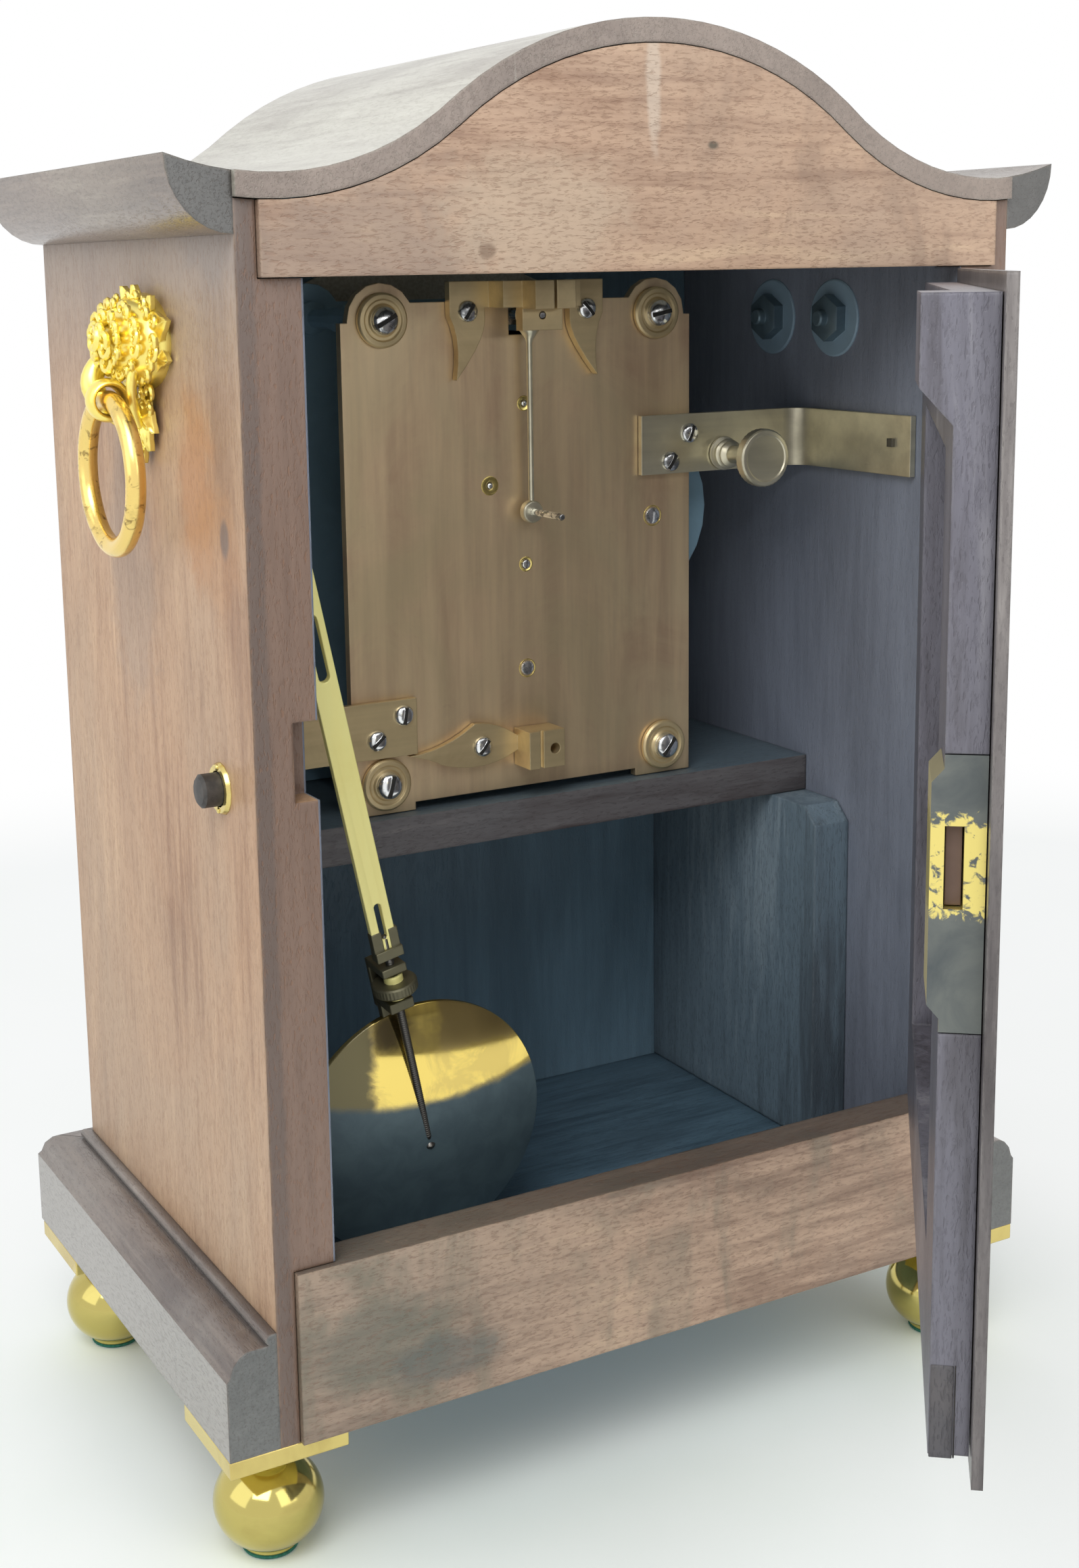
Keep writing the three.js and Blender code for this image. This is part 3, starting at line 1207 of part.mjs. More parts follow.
function ratingNutPiece() {
  const { radius, halfHeight, hub, hubHeight, bore } = ratingNut;
  const high = halfHeight + hubHeight;
  return turnedZ([
    [bore, -high], [hub, -high], [hub, -halfHeight], [radius - gap, -halfHeight], [radius, 0],
    [radius - gap, halfHeight], [hub, halfHeight], [hub, high], [bore, high], [bore, -high],
  ], 0, 0, 14);
}

// Assembly
add(clock, 'side_wall_left', sideWall(true), mahogany);
add(clock, 'side_wall_right', mirrored(sideWall(false)), mahogany);
add(clock, 'front_board', frontBoard(), mahogany);
add(clock, 'roof_board', roofBoard(), darkMahogany);

const boardEnd = wallInner + backBoard.housing;
const boardFront = boardBack - backBoard.thickness;
add(clock, 'back_header', slab(boardUnderRoof(-boardEnd, boardEnd, openingTop + gap), boardFront, boardBack), paleMahogany);
add(clock, 'back_rail', box(-boardEnd, boardEnd, boardFront, boardBack, 0, railHeight - gap), paleMahogany);
add(clock, 'base_board', box(
  -wallInner + gap, wallInner - gap, frontBoardBack + gap, boardFront - gap,
  floorTop - floorThickness, floorTop - gap,
), darkMahogany);

add(clock, 'cornice_left', sideCornice(), mahogany);
add(clock, 'cornice_right', mirrored(sideCornice()), mahogany);
add(clock, 'plinth_left', sidePlinth(), mahogany);
add(clock, 'plinth_right', mirrored(sidePlinth()), mahogany);
add(clock, 'plinth_front', frontPlinth(), mahogany);
add(clock, 'seat_board', seatBoard(), darkMahogany);
add(clock, 'seat_cheek_left', seatCheek(), darkMahogany);
add(clock, 'seat_cheek_right', mirrored(seatCheek()), darkMahogany);

const footX = halfWidth + plinth.reach - pad.side / 2;
const footBackY = halfDepth - pad.side / 2;
const footFrontY = -halfDepth - plinth.reach + pad.frontInset + pad.side / 2;
for (const [name, x, y] of [
  ['foot_back_left', footX, footBackY], ['foot_back_right', -footX, footBackY],
  ['foot_front_left', footX, footFrontY], ['foot_front_right', -footX, footFrontY],
]) {
  add(clock, name, footPiece(x, y), brightBrass);
}

add(clock, 'mount_left', sideMount(), gilt);
add(clock, 'mount_right', mirrored(sideMount()), gilt);
add(clock, 'ring_left', carryingRing(), gilt);
add(clock, 'ring_right', mirrored(carryingRing()), gilt);
add(clock, 'button_collar', buttonCollar(), brightBrass);
add(clock, 'side_button', sideButton(), ebony);

const hinges = [['lower', hinge.lowZ], ['upper', hinge.highZ]];
for (const [name, z] of hinges) {
  add(clock, `${name}_hinge_jamb_leaf`, jambHinge(z), brass);
}
const doorGroup = new THREE.Group();
doorGroup.position.set(hingeX, hingeY, 0);
doorGroup.rotation.z = rad(door.openAngle);
clock.add(doorGroup);
add(doorGroup, 'door_panel', doorPanel(), paleMahogany);
add(doorGroup, 'door_frame', doorFrameBoards(), darkMahogany);
add(doorGroup, 'lock_case', lockCase(), brass);
add(doorGroup, 'lock_bolt', lockBolt(), brightBrass);
for (const [name, z] of hinges) {
  add(doorGroup, `${name}_hinge_door_leaf`, doorHinge(z), brass);
}

add(clock, 'dial', dialDisc(), silvered);
add(clock, 'bezel', bezelRing(), brightBrass);
add(clock, 'bezel_glass', bezelGlass(), clearGlass);
add(clock, 'bezel_hinge', bezelHingePlate(), brass);
add(clock, 'minute_hand', minuteHandPiece(), blueSteel);
add(clock, 'hour_hand', hourHandPiece(), blueSteel);
add(clock, 'minute_wheel', minuteWheelPiece(), brass);

add(clock, 'back_plate', backPlate(), brass);
add(clock, 'front_plate', frontPlate(), brass);
for (const [name, x, z] of pillarPlaces) {
  add(clock, `pillar_screw_${name}`, pillarScrew(x, z), steel);
}
add(clock, 'suspension_cock', cockPiece(), brass);
add(clock, 'pendulum_holdfast', holdfastPiece(), brass);
add(clock, 'movement_strap_left', wallStrap(
  strapEnds.lowStart, buttonY - strapEnds.buttonGap, strap.lowBottom, strap.lowTop, 1,
), brass);
add(clock, 'movement_strap_right', highStrap(), brass);
add(clock, 'thumb_screw', thumbScrew(), brightBrass);
add(clock, 'barrel', barrelPiece(), brass);
add(clock, 'fusee', fuseePiece(), brass);
add(clock, 'centre_wheel', centreWheel(), brass);
add(clock, 'third_wheel', thirdWheel(), brass);
add(clock, 'escape_wheel', escapeWheelPiece(), brass);
add(clock, 'crutch_and_pallets', crutchPiece(), steel);

const pendulumGroup = new THREE.Group();
pendulumGroup.position.set(wallInner - pendulum.wallGap, halfDepth - pendulum.inset, pendulum.z);
pendulumGroup.rotation.set(-rad(lean.backAngle), rad(lean.sideAngle), 0);
clock.add(pendulumGroup);
add(pendulumGroup, 'pendulum_rod', pendulumRod(), brightBrass);
add(pendulumGroup, 'pendulum_bob', pendulumBob(), brightBrass);
add(pendulumGroup, 'rating_nut', ratingNutPiece(), brass);

// The origin is under the middle of the open clock, on the surface that it stands on
const freeEdge = Math.hypot(relX(doorFree), relY(doorBack));
const freeAngle = rad(door.openAngle) + Math.atan2(relY(doorBack), relX(doorFree));
const backmost = hingeY + freeEdge * Math.sin(freeAngle);
const foremost = -halfDepth - plinth.reach;
clock.position.set(0, -(backmost + foremost) / 2, foot.height);

export default clock;
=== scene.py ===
"""Finishes and fine pieces for a bell-arch table clock that stands open at the back."""
import logging
import math
import random
from collections.abc import Callable, Iterable, Sequence
from dataclasses import dataclass, field
from enum import Enum

import bmesh
import bpy
from mathutils import Matrix, Vector, noise


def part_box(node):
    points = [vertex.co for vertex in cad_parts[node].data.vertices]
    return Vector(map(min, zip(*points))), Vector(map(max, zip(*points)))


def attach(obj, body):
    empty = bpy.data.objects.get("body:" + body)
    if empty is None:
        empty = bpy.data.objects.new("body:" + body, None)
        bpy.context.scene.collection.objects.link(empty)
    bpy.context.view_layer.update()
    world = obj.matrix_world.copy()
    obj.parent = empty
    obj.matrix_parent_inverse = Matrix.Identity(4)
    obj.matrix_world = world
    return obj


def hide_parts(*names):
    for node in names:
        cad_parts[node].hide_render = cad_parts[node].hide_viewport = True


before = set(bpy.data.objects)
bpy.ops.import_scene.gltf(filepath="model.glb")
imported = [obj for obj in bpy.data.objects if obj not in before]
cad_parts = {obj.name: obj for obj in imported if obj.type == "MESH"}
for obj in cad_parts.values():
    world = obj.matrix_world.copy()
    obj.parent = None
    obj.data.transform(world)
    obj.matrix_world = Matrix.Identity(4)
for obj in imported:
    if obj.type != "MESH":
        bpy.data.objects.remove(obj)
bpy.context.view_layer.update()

MM = 0.001
LOG = logging.getLogger("clock")
Colour = tuple[float, float, float]
Point = tuple[float, float, float]
Profile = Sequence[tuple[float, float]]
SHARP_ANGLE = math.radians(38)
SOFT_ANGLE = math.radians(32)
WELD_REACH = 1e-6
SEED_WELD_REACH = 1e-7
SHARP_REFLECTION_SCALE = 100.0
WOOD_RELIEF = 0.00008
BRUSHED_RELIEF = 0.000012
PITTED_RELIEF = 0.00003
POLISHED_RELIEF = 0.00001
HERE = Matrix.Identity(4)


class Run(Enum):
    """The way that grain or brushing runs, as stretch factors for X, Y and Z."""

    UP = (1.0, 1.0, 0.075)
    ACROSS = (0.075, 1.0, 1.0)
    DEEP = (1.0, 0.075, 1.0)
    NONE = (1.0, 1.0, 1.0)


def place(x: float, y: float, z: float) -> Vector:
    """Turn a place in the case, in millimetres, into one in the row frame.

    Args:
        x: Distance to the left of the middle, seen from behind.
        y: Distance behind the middle of the case.
        z: Height over the underside of the case.

    Returns:
        The same place in metres.
    """
    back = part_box("back_plate")[1][1] - 2 * MM
    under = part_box("side_wall_left")[0][2]
    return Vector((x * MM, y * MM + back, z * MM + under))


def srgb(red: int, green: int, blue: int) -> Colour:
    """Turn a display colour, 0 to 255, into a linear one.

    Args:
        red: Red as displayed.
        green: Green as displayed.
        blue: Blue as displayed.

    Returns:
        The linear colour that a shader takes.
    """
    def linear(value: float) -> float:
        """Undo the display curve for one channel."""
        return value / 12.92 if value <= 0.04045 else ((value + 0.055) / 1.055) ** 2.4
    return (linear(red / 255), linear(green / 255), linear(blue / 255))


class Graph:
    """Short calls for building a shader or geometry node tree."""

    def __init__(self, tree: bpy.types.NodeTree) -> None:
        """Keep the tree and clear it."""
        self.tree = tree
        tree.nodes.clear()

    def node(self, kind: str, **settings: object) -> bpy.types.Node:
        """Add a node.

        Args:
            kind: The node's type name.
            settings: Properties to set on it.

        Returns:
            The new node.
        """
        made = self.tree.nodes.new(kind)
        for key, value in settings.items():
            setattr(made, key, value)
        return made

    def feed(self, socket: bpy.types.NodeSocket, value: object) -> None:
        """Link a socket to another, or set its value.

        Args:
            socket: The input to fill.
            value: An output socket, a number or a tuple.
        """
        if isinstance(value, bpy.types.NodeSocket):
            self.tree.links.new(value, socket)
        elif isinstance(value, tuple) and len(value) == 3 and socket.type == "RGBA":
            socket.default_value = (*value, 1.0)
        else:
            socket.default_value = value

    def math(self, operation: str, first: object, second: object = 0.0,
             clamp: bool = False) -> bpy.types.NodeSocket:
        """Work out one sum.

        Args:
            operation: The Math node's operation.
            first: First number or socket.
            second: Second number or socket.
            clamp: Whether to hold the result between 0 and 1.

        Returns:
            The result's socket.
        """
        made = self.node("ShaderNodeMath", operation=operation, use_clamp=clamp)
        self.feed(made.inputs[0], first)
        self.feed(made.inputs[1], second)
        return made.outputs[0]

    def times(self, first: object, second: object, clamp: bool = False) -> bpy.types.NodeSocket:
        """Multiply two numbers."""
        return self.math("MULTIPLY", first, second, clamp)

    def vector(self, operation: str, *values: object) -> bpy.types.NodeOutputs:
        """Return the outputs of a vector sum over the values."""
        made = self.node("ShaderNodeVectorMath", operation=operation)
        for socket, value in zip(made.inputs, values):
            self.feed(socket, value)
        return made.outputs

    def split(self, vector: object) -> bpy.types.NodeOutputs:
        """Return the outputs X, Y and Z of a vector."""
        made = self.node("ShaderNodeSeparateXYZ")
        self.feed(made.inputs[0], vector)
        return made.outputs

    def face_normal(self) -> bpy.types.NodeSocket:
        """Return the normal in object coordinates."""
        return self.tree.nodes["Texture Coordinate"].outputs["Normal"]

    def blend(self, amount: object, first: object, second: object) -> bpy.types.NodeSocket:
        """Mix two colours.

        Args:
            amount: How much of the second shows.
            first: First colour or socket.
            second: Second colour or socket.

        Returns:
            The mixed colour's socket.
        """
        made = self.node("ShaderNodeMix", data_type="RGBA", blend_type="MIX")
        self.feed(made.inputs[0], amount)
        self.feed(made.inputs[6], first)
        self.feed(made.inputs[7], second)
        return made.outputs[2]

    def spread(self, value: object, low: float, high: float, to_low: float = 0.0,
               to_high: float = 1.0) -> bpy.types.NodeSocket:
        """Map a number from one range to another, held at the ends and eased.

        Args:
            value: The number or socket.
            low: Where the output is to_low.
            high: Where the output is to_high.
            to_low: Output at low.
            to_high: Output at high.

        Returns:
            The mapped number's socket.
        """
        made = self.node("ShaderNodeMapRange", interpolation_type="SMOOTHSTEP")
        for socket, number in zip(made.inputs[:5], (value, low, high, to_low, to_high)):
            self.feed(socket, number)
        return made.outputs[0]

    def noise(self, vector: object, scale: object, detail: float = 4.0, rough: float = 0.55,
              bend: float = 0.0) -> bpy.types.NodeSocket:
        """Add a noise texture.

        Args:
            vector: Coordinates.
            scale: Texture scale, per metre.
            detail: Octaves.
            rough: Roughness of the octaves.
            bend: Distortion.

        Returns:
            The noise value's socket.
        """
        made = self.node("ShaderNodeTexNoise")
        self.feed(made.inputs["Vector"], vector)
        self.feed(made.inputs["Scale"], scale)
        made.inputs["Detail"].default_value = detail
        made.inputs["Roughness"].default_value = rough
        made.inputs["Distortion"].default_value = bend
        return made.outputs["Fac"]

    def stretch(self, vector: object, factors: Point,
                offset: Point = (0.0, 0.0, 0.0)) -> bpy.types.NodeSocket:
        """Scale and shift coordinates.

        Args:
            vector: Coordinates.
            factors: Scale for each axis.
            offset: Shift for each axis.

        Returns:
            The new coordinates' socket.
        """
        made = self.node("ShaderNodeMapping")
        self.feed(made.inputs["Vector"], vector)
        made.inputs["Scale"].default_value = factors
        made.inputs["Location"].default_value = offset
        return made.outputs[0]


def shader_group(name: str, inputs: dict[str, tuple[str, object]], outputs: dict[str, str],
                 build: Callable[[Graph, bpy.types.Node], dict[str, object]]) -> bpy.types.NodeTree:
    """Make a shader node group once.

    Args:
        name: The group's name.
        inputs: Socket names with their type and default.
        outputs: Socket names with their type.
        build: Fills the group and returns what feeds each output.

    Returns:
        The group.
    """
    known = bpy.data.node_groups.get(name)
    if known:
        return known
    tree = bpy.data.node_groups.new(name, "ShaderNodeTree")
    for label, (kind, default) in inputs.items():
        socket = tree.interface.new_socket(name=label, in_out="INPUT", socket_type=kind)
        if default is not None:
            socket.default_value = default
    for label, kind in outputs.items():
        tree.interface.new_socket(name=label, in_out="OUTPUT", socket_type=kind)
    graph = Graph(tree)
    source = graph.node("NodeGroupInput")
    results = build(graph, source)
    sink = graph.node("NodeGroupOutput")
    for label, value in results.items():
        graph.feed(sink.inputs[label], value)
    return tree


FLOAT = "NodeSocketFloat"
VECTOR = "NodeSocketVector"


def grain_group() -> bpy.types.NodeTree:
    """Return the group that draws wood figure, flecks, pores and relief along stretched coordinates."""
    def build(graph: Graph, source: bpy.types.Node) -> dict[str, object]:
        """Lay broad figure under fine lines, short flecks and pores."""
        vector, short_vector = source.outputs["Vector"], source.outputs["Short"]
        broad = graph.noise(short_vector, 16.0, 5.0, 0.6, 0.9)
        lines = graph.noise(vector, 340.0, 4.0, 0.65, 0.4)
        flecks = graph.noise(short_vector, 1100.0, 4.0, 0.7, 0.3)
        pores = graph.noise(short_vector, 1300.0, 1.0, 0.5)
        figure = graph.math("ADD", graph.times(broad, 0.66), graph.times(lines, 0.34))
        short = graph.spread(flecks, 0.50, 0.68)
        open_pores = graph.spread(pores, 0.62, 0.72)
        height = graph.math("SUBTRACT", graph.times(lines, 0.3), graph.math("MAXIMUM", short, open_pores))
        return {"Figure": graph.spread(figure, 0.26, 0.74), "Flecks": short, "Pores": open_pores,
                "Height": height}
    return shader_group("wood_grain", {"Vector": (VECTOR, None), "Short": (VECTOR, None)},
                        {"Figure": FLOAT, "Flecks": FLOAT, "Pores": FLOAT, "Height": FLOAT}, build)


def patches_group() -> bpy.types.NodeTree:
    """Return the group that makes soft-edged patches of a chosen size and share."""
    def build(graph: Graph, source: bpy.types.Node) -> dict[str, object]:
        """Cut warped noise at the share."""
        value = graph.noise(source.outputs["Vector"], source.outputs["Scale"], 5.0, 0.6, 0.8)
        edge = graph.math("SUBTRACT", 1.0, source.outputs["Share"])
        low = graph.math("SUBTRACT", edge, source.outputs["Softness"])
        top = graph.math("SUBTRACT", value, low)
        return {"Mask": graph.math("DIVIDE", top, graph.times(source.outputs["Softness"], 2.0), True)}
    return shader_group("patches", {"Vector": (VECTOR, None), "Scale": (FLOAT, 12.0), "Share": (FLOAT, 0.4),
                                    "Softness": (FLOAT, 0.08)}, {"Mask": FLOAT}, build)


def rubbed_group() -> bpy.types.NodeTree:
    """Return the group that finds outer edges that hands have rubbed."""
    def build(graph: Graph, source: bpy.types.Node) -> dict[str, object]:
        """Compare the surface normal with a rounded one."""
        bevel = graph.node("ShaderNodeBevel", samples=4)
        graph.feed(bevel.inputs["Radius"], source.outputs["Radius"])
        geometry = graph.node("ShaderNodeNewGeometry")
        dot = graph.vector("DOT_PRODUCT", bevel.outputs[0], geometry.outputs["Normal"])
        bend = graph.math("SUBTRACT", 1.0, dot["Value"])
        worn = graph.spread(bend, 0.01, 0.22)
        broken = graph.spread(graph.noise(source.outputs["Vector"], 90.0, 4.0), 0.36, 0.62)
        return {"Mask": graph.times(worn, broken), "Normal": bevel.outputs[0]}
    return shader_group("rubbed_edges", {"Vector": (VECTOR, None), "Radius": (FLOAT, 0.0012)},
                        {"Mask": FLOAT, "Normal": VECTOR}, build)


def scratch_group() -> bpy.types.NodeTree:
    """Return the group that draws sparse fine scratches in two directions."""
    def build(graph: Graph, source: bpy.types.Node) -> dict[str, object]:
        """Cut two long thin noises to hairlines and break them up."""
        masks = []
        slants = ((0.5, (1.0, 1.0, 0.08)), (-0.9, (0.1, 1.0, 1.0)))
        for turn, factors in slants:
            mapping = graph.node("ShaderNodeMapping")
            graph.feed(mapping.inputs["Vector"], source.outputs["Vector"])
            mapping.inputs["Rotation"].default_value = (0.0, turn, 0.0)
            mapping.inputs["Scale"].default_value = factors
            value = graph.noise(mapping.outputs[0], 420.0, 1.0, 0.4)
            masks.append(graph.spread(value, 0.70, 0.74))
        total = graph.math("MAXIMUM", masks[0], masks[1])
        broken = graph.spread(graph.noise(source.outputs["Vector"], 30.0, 3.0), 0.56, 0.66)
        return {"Mask": graph.times(total, broken)}
    return shader_group("fine_scratches", {"Vector": (VECTOR, None)}, {"Mask": FLOAT}, build)


def spot_group() -> bpy.types.NodeTree:
    """Return the group that draws one ragged mark round a place."""
    def build(graph: Graph, source: bpy.types.Node) -> dict[str, object]:
        """Measure the stretched distance from the place and roughen it."""
        away = graph.vector("SUBTRACT", source.outputs["Vector"], source.outputs["Place"])
        share = graph.vector("DIVIDE", away[0], source.outputs["Reach"])
        length = graph.vector("LENGTH", share[0])
        ragged = graph.noise(source.outputs["Vector"], 85.0, 5.0, 0.6, 0.5)
        total = graph.math("ADD", length["Value"], graph.times(ragged, 1.1))
        return {"Mask": graph.spread(total, 1.1, 1.75, 1.0, 0.0)}
    return shader_group("ragged_spot",
                        {"Vector": (VECTOR, None), "Place": (VECTOR, None), "Reach": (VECTOR, None)},
                        {"Mask": FLOAT}, build)


def use_group(graph: Graph, tree: bpy.types.NodeTree, **values: object) -> bpy.types.Node:
    """Place a group in a material.

    Args:
        graph: The material's graph.
        tree: The group.
        values: What feeds its inputs.

    Returns:
        The group's node.
    """
    made = graph.node("ShaderNodeGroup", node_tree=tree)
    for label, value in values.items():
        graph.feed(made.inputs[label], value)
    return made


def patches(graph: Graph, vector: object, scale: float, share: float,
            softness: float) -> bpy.types.NodeSocket:
    """Draw patches in a material.

    Args:
        graph: The material's graph.
        vector: Coordinates.
        scale: Texture scale, per metre.
        share: The share of the surface that they cover.
        softness: Half the width of their edges, in noise.

    Returns:
        The mask's socket.
    """
    made = use_group(graph, patches_group(), Vector=vector, Scale=scale, Share=share, Softness=softness)
    return made.outputs["Mask"]


def fresh_material(name: str) -> tuple[bpy.types.Material, Graph, bpy.types.Node, bpy.types.NodeSocket]:
    """Start a material.

    Args:
        name: Its name.

    Returns:
        The material, its graph, its Principled shader and its object coordinates.
    """
    material = bpy.data.materials.new(name)
    material.use_nodes = True
    graph = Graph(material.node_tree)
    shader = graph.node("ShaderNodeBsdfPrincipled")
    output = graph.node("ShaderNodeOutputMaterial")
    graph.feed(output.inputs["Surface"], shader.outputs[0])
    coordinates = graph.node("ShaderNodeTexCoord")
    return material, graph, shader, coordinates.outputs["Object"]


def toned(colour: Colour, factor: float) -> Colour:
    """Return a colour made darker or lighter."""
    return tuple(channel * factor for channel in colour)


def relief(graph: Graph, shader: bpy.types.Node, height: object, depth: float,
           normal: object = None) -> None:
    """Feed a bump to a shader.

    Args:
        graph: The material's graph.
        shader: Its Principled shader.
        height: What the relief follows.
        depth: Relief depth in metres.
        normal: A rounded normal to start from.
    """
    bump = graph.node("ShaderNodeBump")
    bump.inputs["Strength"].default_value = 1.0
    bump.inputs["Distance"].default_value = depth
    graph.feed(bump.inputs["Height"], height)
    if normal is not None:
        graph.feed(bump.inputs["Normal"], normal)
    graph.feed(shader.inputs["Normal"], bump.outputs[0])


@dataclass(frozen=True)
class Mark:
    """One ragged mark on a surface, such as a stain or a place rubbed pale."""

    place: Vector
    reach: Point
    colour: Colour
    amount: float = 0.6


@dataclass(frozen=True)
class Wood:
    """A mahogany surface: its colours, the way its grain runs and how worn it is."""

    name: str
    dark: Colour
    mid: Colour
    light: Colour
    run: Run = Run.UP
    haze: Colour = srgb(150, 138, 128)
    haze_share: float = 0.36
    stain: Colour = srgb(96, 88, 82)
    stain_share: float = 0.22
    stain_band: tuple[float, float] | None = None
    ribbon: float = 0.0
    marks: tuple[Mark, ...] = ()
    flecks: float = 0.35
    inside: Colour | None = None
    inside_reach: float = 0.0
    inside_facing: tuple[str, float] = ("Y", 0.0)
    edge_face: Colour | None = None
    side_face: Colour | None = None
    upper_face: Colour | None = None
    top_tint: Colour | None = None
    top_from: float = 0.30
    top_to: float = 0.37
    roughness: float = 0.42
    coat: float = 0.12
    edge: float = 0.3
    # How far the recesses are darkened with painted shade.
    recess_shade: float = 0.35
    scratches: float = 0.12

    def aged(self, graph: Graph, coords: object, figure: object, hazed: object) -> bpy.types.NodeSocket:
        """Colour the figure and age it with haze, stains and pale ribbons.

        Args:
            graph: The material's graph.
            coords: Object coordinates.
            figure: The grain's figure.
            hazed: The mask of the haze.

        Returns:
            The colour's socket.
        """
        colour = graph.blend(graph.spread(figure, 0.0, 0.6), self.dark, self.mid)
        colour = graph.blend(graph.spread(figure, 0.55, 1.0), colour, self.light)
        colour = graph.blend(graph.times(hazed, 0.5), colour, self.haze)
        stained = patches(graph, graph.stretch(coords, (1.0, 1.0, 1.4), (3.1, 1.7, 0.4)), 24.0,
                          self.stain_share, 0.07)
        stain = graph.times(stained, 0.5)
        if self.stain_band:
            nearer = graph.spread(graph.split(coords)["X"], *self.stain_band, 0.1, 1.5)
            stain = graph.times(stain, nearer, True)
            colour = graph.blend(graph.times(nearer, 0.3), colour, self.haze)
        colour = graph.blend(stain, colour, self.stain)
        if self.ribbon:
            across = graph.noise(graph.stretch(coords, (1.0, 1.0, 0.4), (0.7, 0.2, 1.3)), 48.0, 4.0, 0.6,
                                 0.6)
            colour = graph.blend(graph.spread(across, 0.48, 0.68, 0.0, self.ribbon), colour, self.stain)
        return colour

    def faced(self, graph: Graph, coords: object, figure: object, colour: object) -> bpy.types.NodeSocket:
        """Give the faces that look up, sideways and back their own tone, and set the marks.

        Args:
            graph: The material's graph.
            coords: Object coordinates.
            figure: The grain's figure.
            colour: The colour so far.

        Returns:
            The colour's socket.
        """
        faces = graph.split(graph.face_normal())
        if self.top_tint:
            rise = graph.spread(graph.split(coords)["Z"], self.top_from, self.top_to, 0.0, 0.8)
            colour = graph.blend(rise, colour, self.top_tint)
        if self.edge_face:
            shade = graph.blend(figure, toned(self.edge_face, 0.72), toned(self.edge_face, 1.2))
            colour = graph.blend(graph.spread(faces["Y"], 0.6, 0.8, 0.0, 0.94), colour, shade)
        if self.side_face:
            upright = graph.spread(graph.math("ABSOLUTE", faces["X"]), 0.9, 0.98, 0.0, 0.8)
            colour = graph.blend(upright, colour, self.side_face)
        if self.upper_face:
            colour = graph.blend(graph.spread(faces["Z"], 0.6, 0.8, 0.0, 0.75), colour, self.upper_face)
        for mark in self.marks:
            spot = use_group(graph, spot_group(), Vector=coords, Place=tuple(mark.place), Reach=mark.reach)
            colour = graph.blend(graph.times(spot.outputs["Mask"], mark.amount), colour, mark.colour)
        return colour

    def worn(self, graph: Graph, coords: object, grain: bpy.types.Node, rubbed: object,
             colour: object) -> bpy.types.NodeSocket:
        """Add flecks, pores, scratches, rubbed edges and painted shade in the recesses.

        Args:
            graph: The material's graph.
            coords: Object coordinates.
            grain: The grain's group.
            rubbed: The mask of the rubbed edges.
            colour: The colour so far.

        Returns:
            The colour's socket.
        """
        colour = graph.blend(graph.times(grain.outputs["Flecks"], self.flecks), colour, self.dark)
        colour = graph.blend(graph.times(grain.outputs["Pores"], 0.3), colour, self.dark)
        scratched = use_group(graph, scratch_group(), Vector=coords).outputs["Mask"]
        colour = graph.blend(graph.times(scratched, self.scratches), colour, self.light)
        colour = graph.blend(graph.times(rubbed, self.edge), colour, self.light)
        # Painted shade: ambient occlusion darkens the colour in recesses and corners towards a very dark
        # tone of the wood.
        recess = graph.node("ShaderNodeAmbientOcclusion", samples=4)
        recess.inputs["Distance"].default_value = 0.006
        painted_recess_shade = graph.spread(recess.outputs["AO"], 0.45, 0.95, self.recess_shade, 0.0)
        return graph.blend(painted_recess_shade, colour, toned(self.dark, 0.35))

    def lined(self, graph: Graph, coords: object, figure: object, colour: object) -> bpy.types.NodeSocket:
        """Give the faces inside the case their own colour, which in most finishes is a blue-grey painted
        for the glare in the shade there.

        Args:
            graph: The material's graph.
            coords: Object coordinates.
            figure: The grain's figure.
            colour: The colour so far.

        Returns:
            The colour's socket.
        """
        deep = graph.blend(figure, toned(self.inside, 0.75), toned(self.inside, 1.35))
        if self.inside_reach:
            away = graph.math("ABSOLUTE", graph.split(coords)["X"])
            return graph.blend(graph.math("LESS_THAN", away, self.inside_reach), colour, deep)
        axis, sign = self.inside_facing
        within = graph.spread(graph.times(graph.split(graph.face_normal())[axis], sign), 0.6, 0.8)
        return graph.blend(within, colour, deep)

    def material(self) -> bpy.types.Material:
        """Build the material.

        Returns:
            The finished wood.
        """
        material, graph, shader, coords = fresh_material(self.name)
        grain = use_group(graph, grain_group(), Vector=graph.stretch(coords, self.run.value),
                          Short=graph.stretch(coords, tuple(factor ** 0.5 for factor in self.run.value)))
        figure = grain.outputs["Figure"]
        hazed = patches(graph, graph.stretch(coords, (1.0, 1.0, 0.6)), 9.0, self.haze_share, 0.16)
        rubbed = use_group(graph, rubbed_group(), Vector=coords)
        colour = self.aged(graph, coords, figure, hazed)
        colour = self.faced(graph, coords, figure, colour)
        colour = self.worn(graph, coords, grain, rubbed.outputs["Mask"], colour)
        if self.inside:
            colour = self.lined(graph, coords, figure, colour)
        graph.feed(shader.inputs["Base Color"], colour)
        graph.feed(shader.inputs["Roughness"], graph.math("ADD", self.roughness, graph.times(hazed, 0.14)))
        shader.inputs["Coat Weight"].default_value = self.coat
        shader.inputs["Coat Roughness"].default_value = 0.3
        relief(graph, shader, grain.outputs["Height"], WOOD_RELIEF, rubbed.outputs["Normal"])
        return material


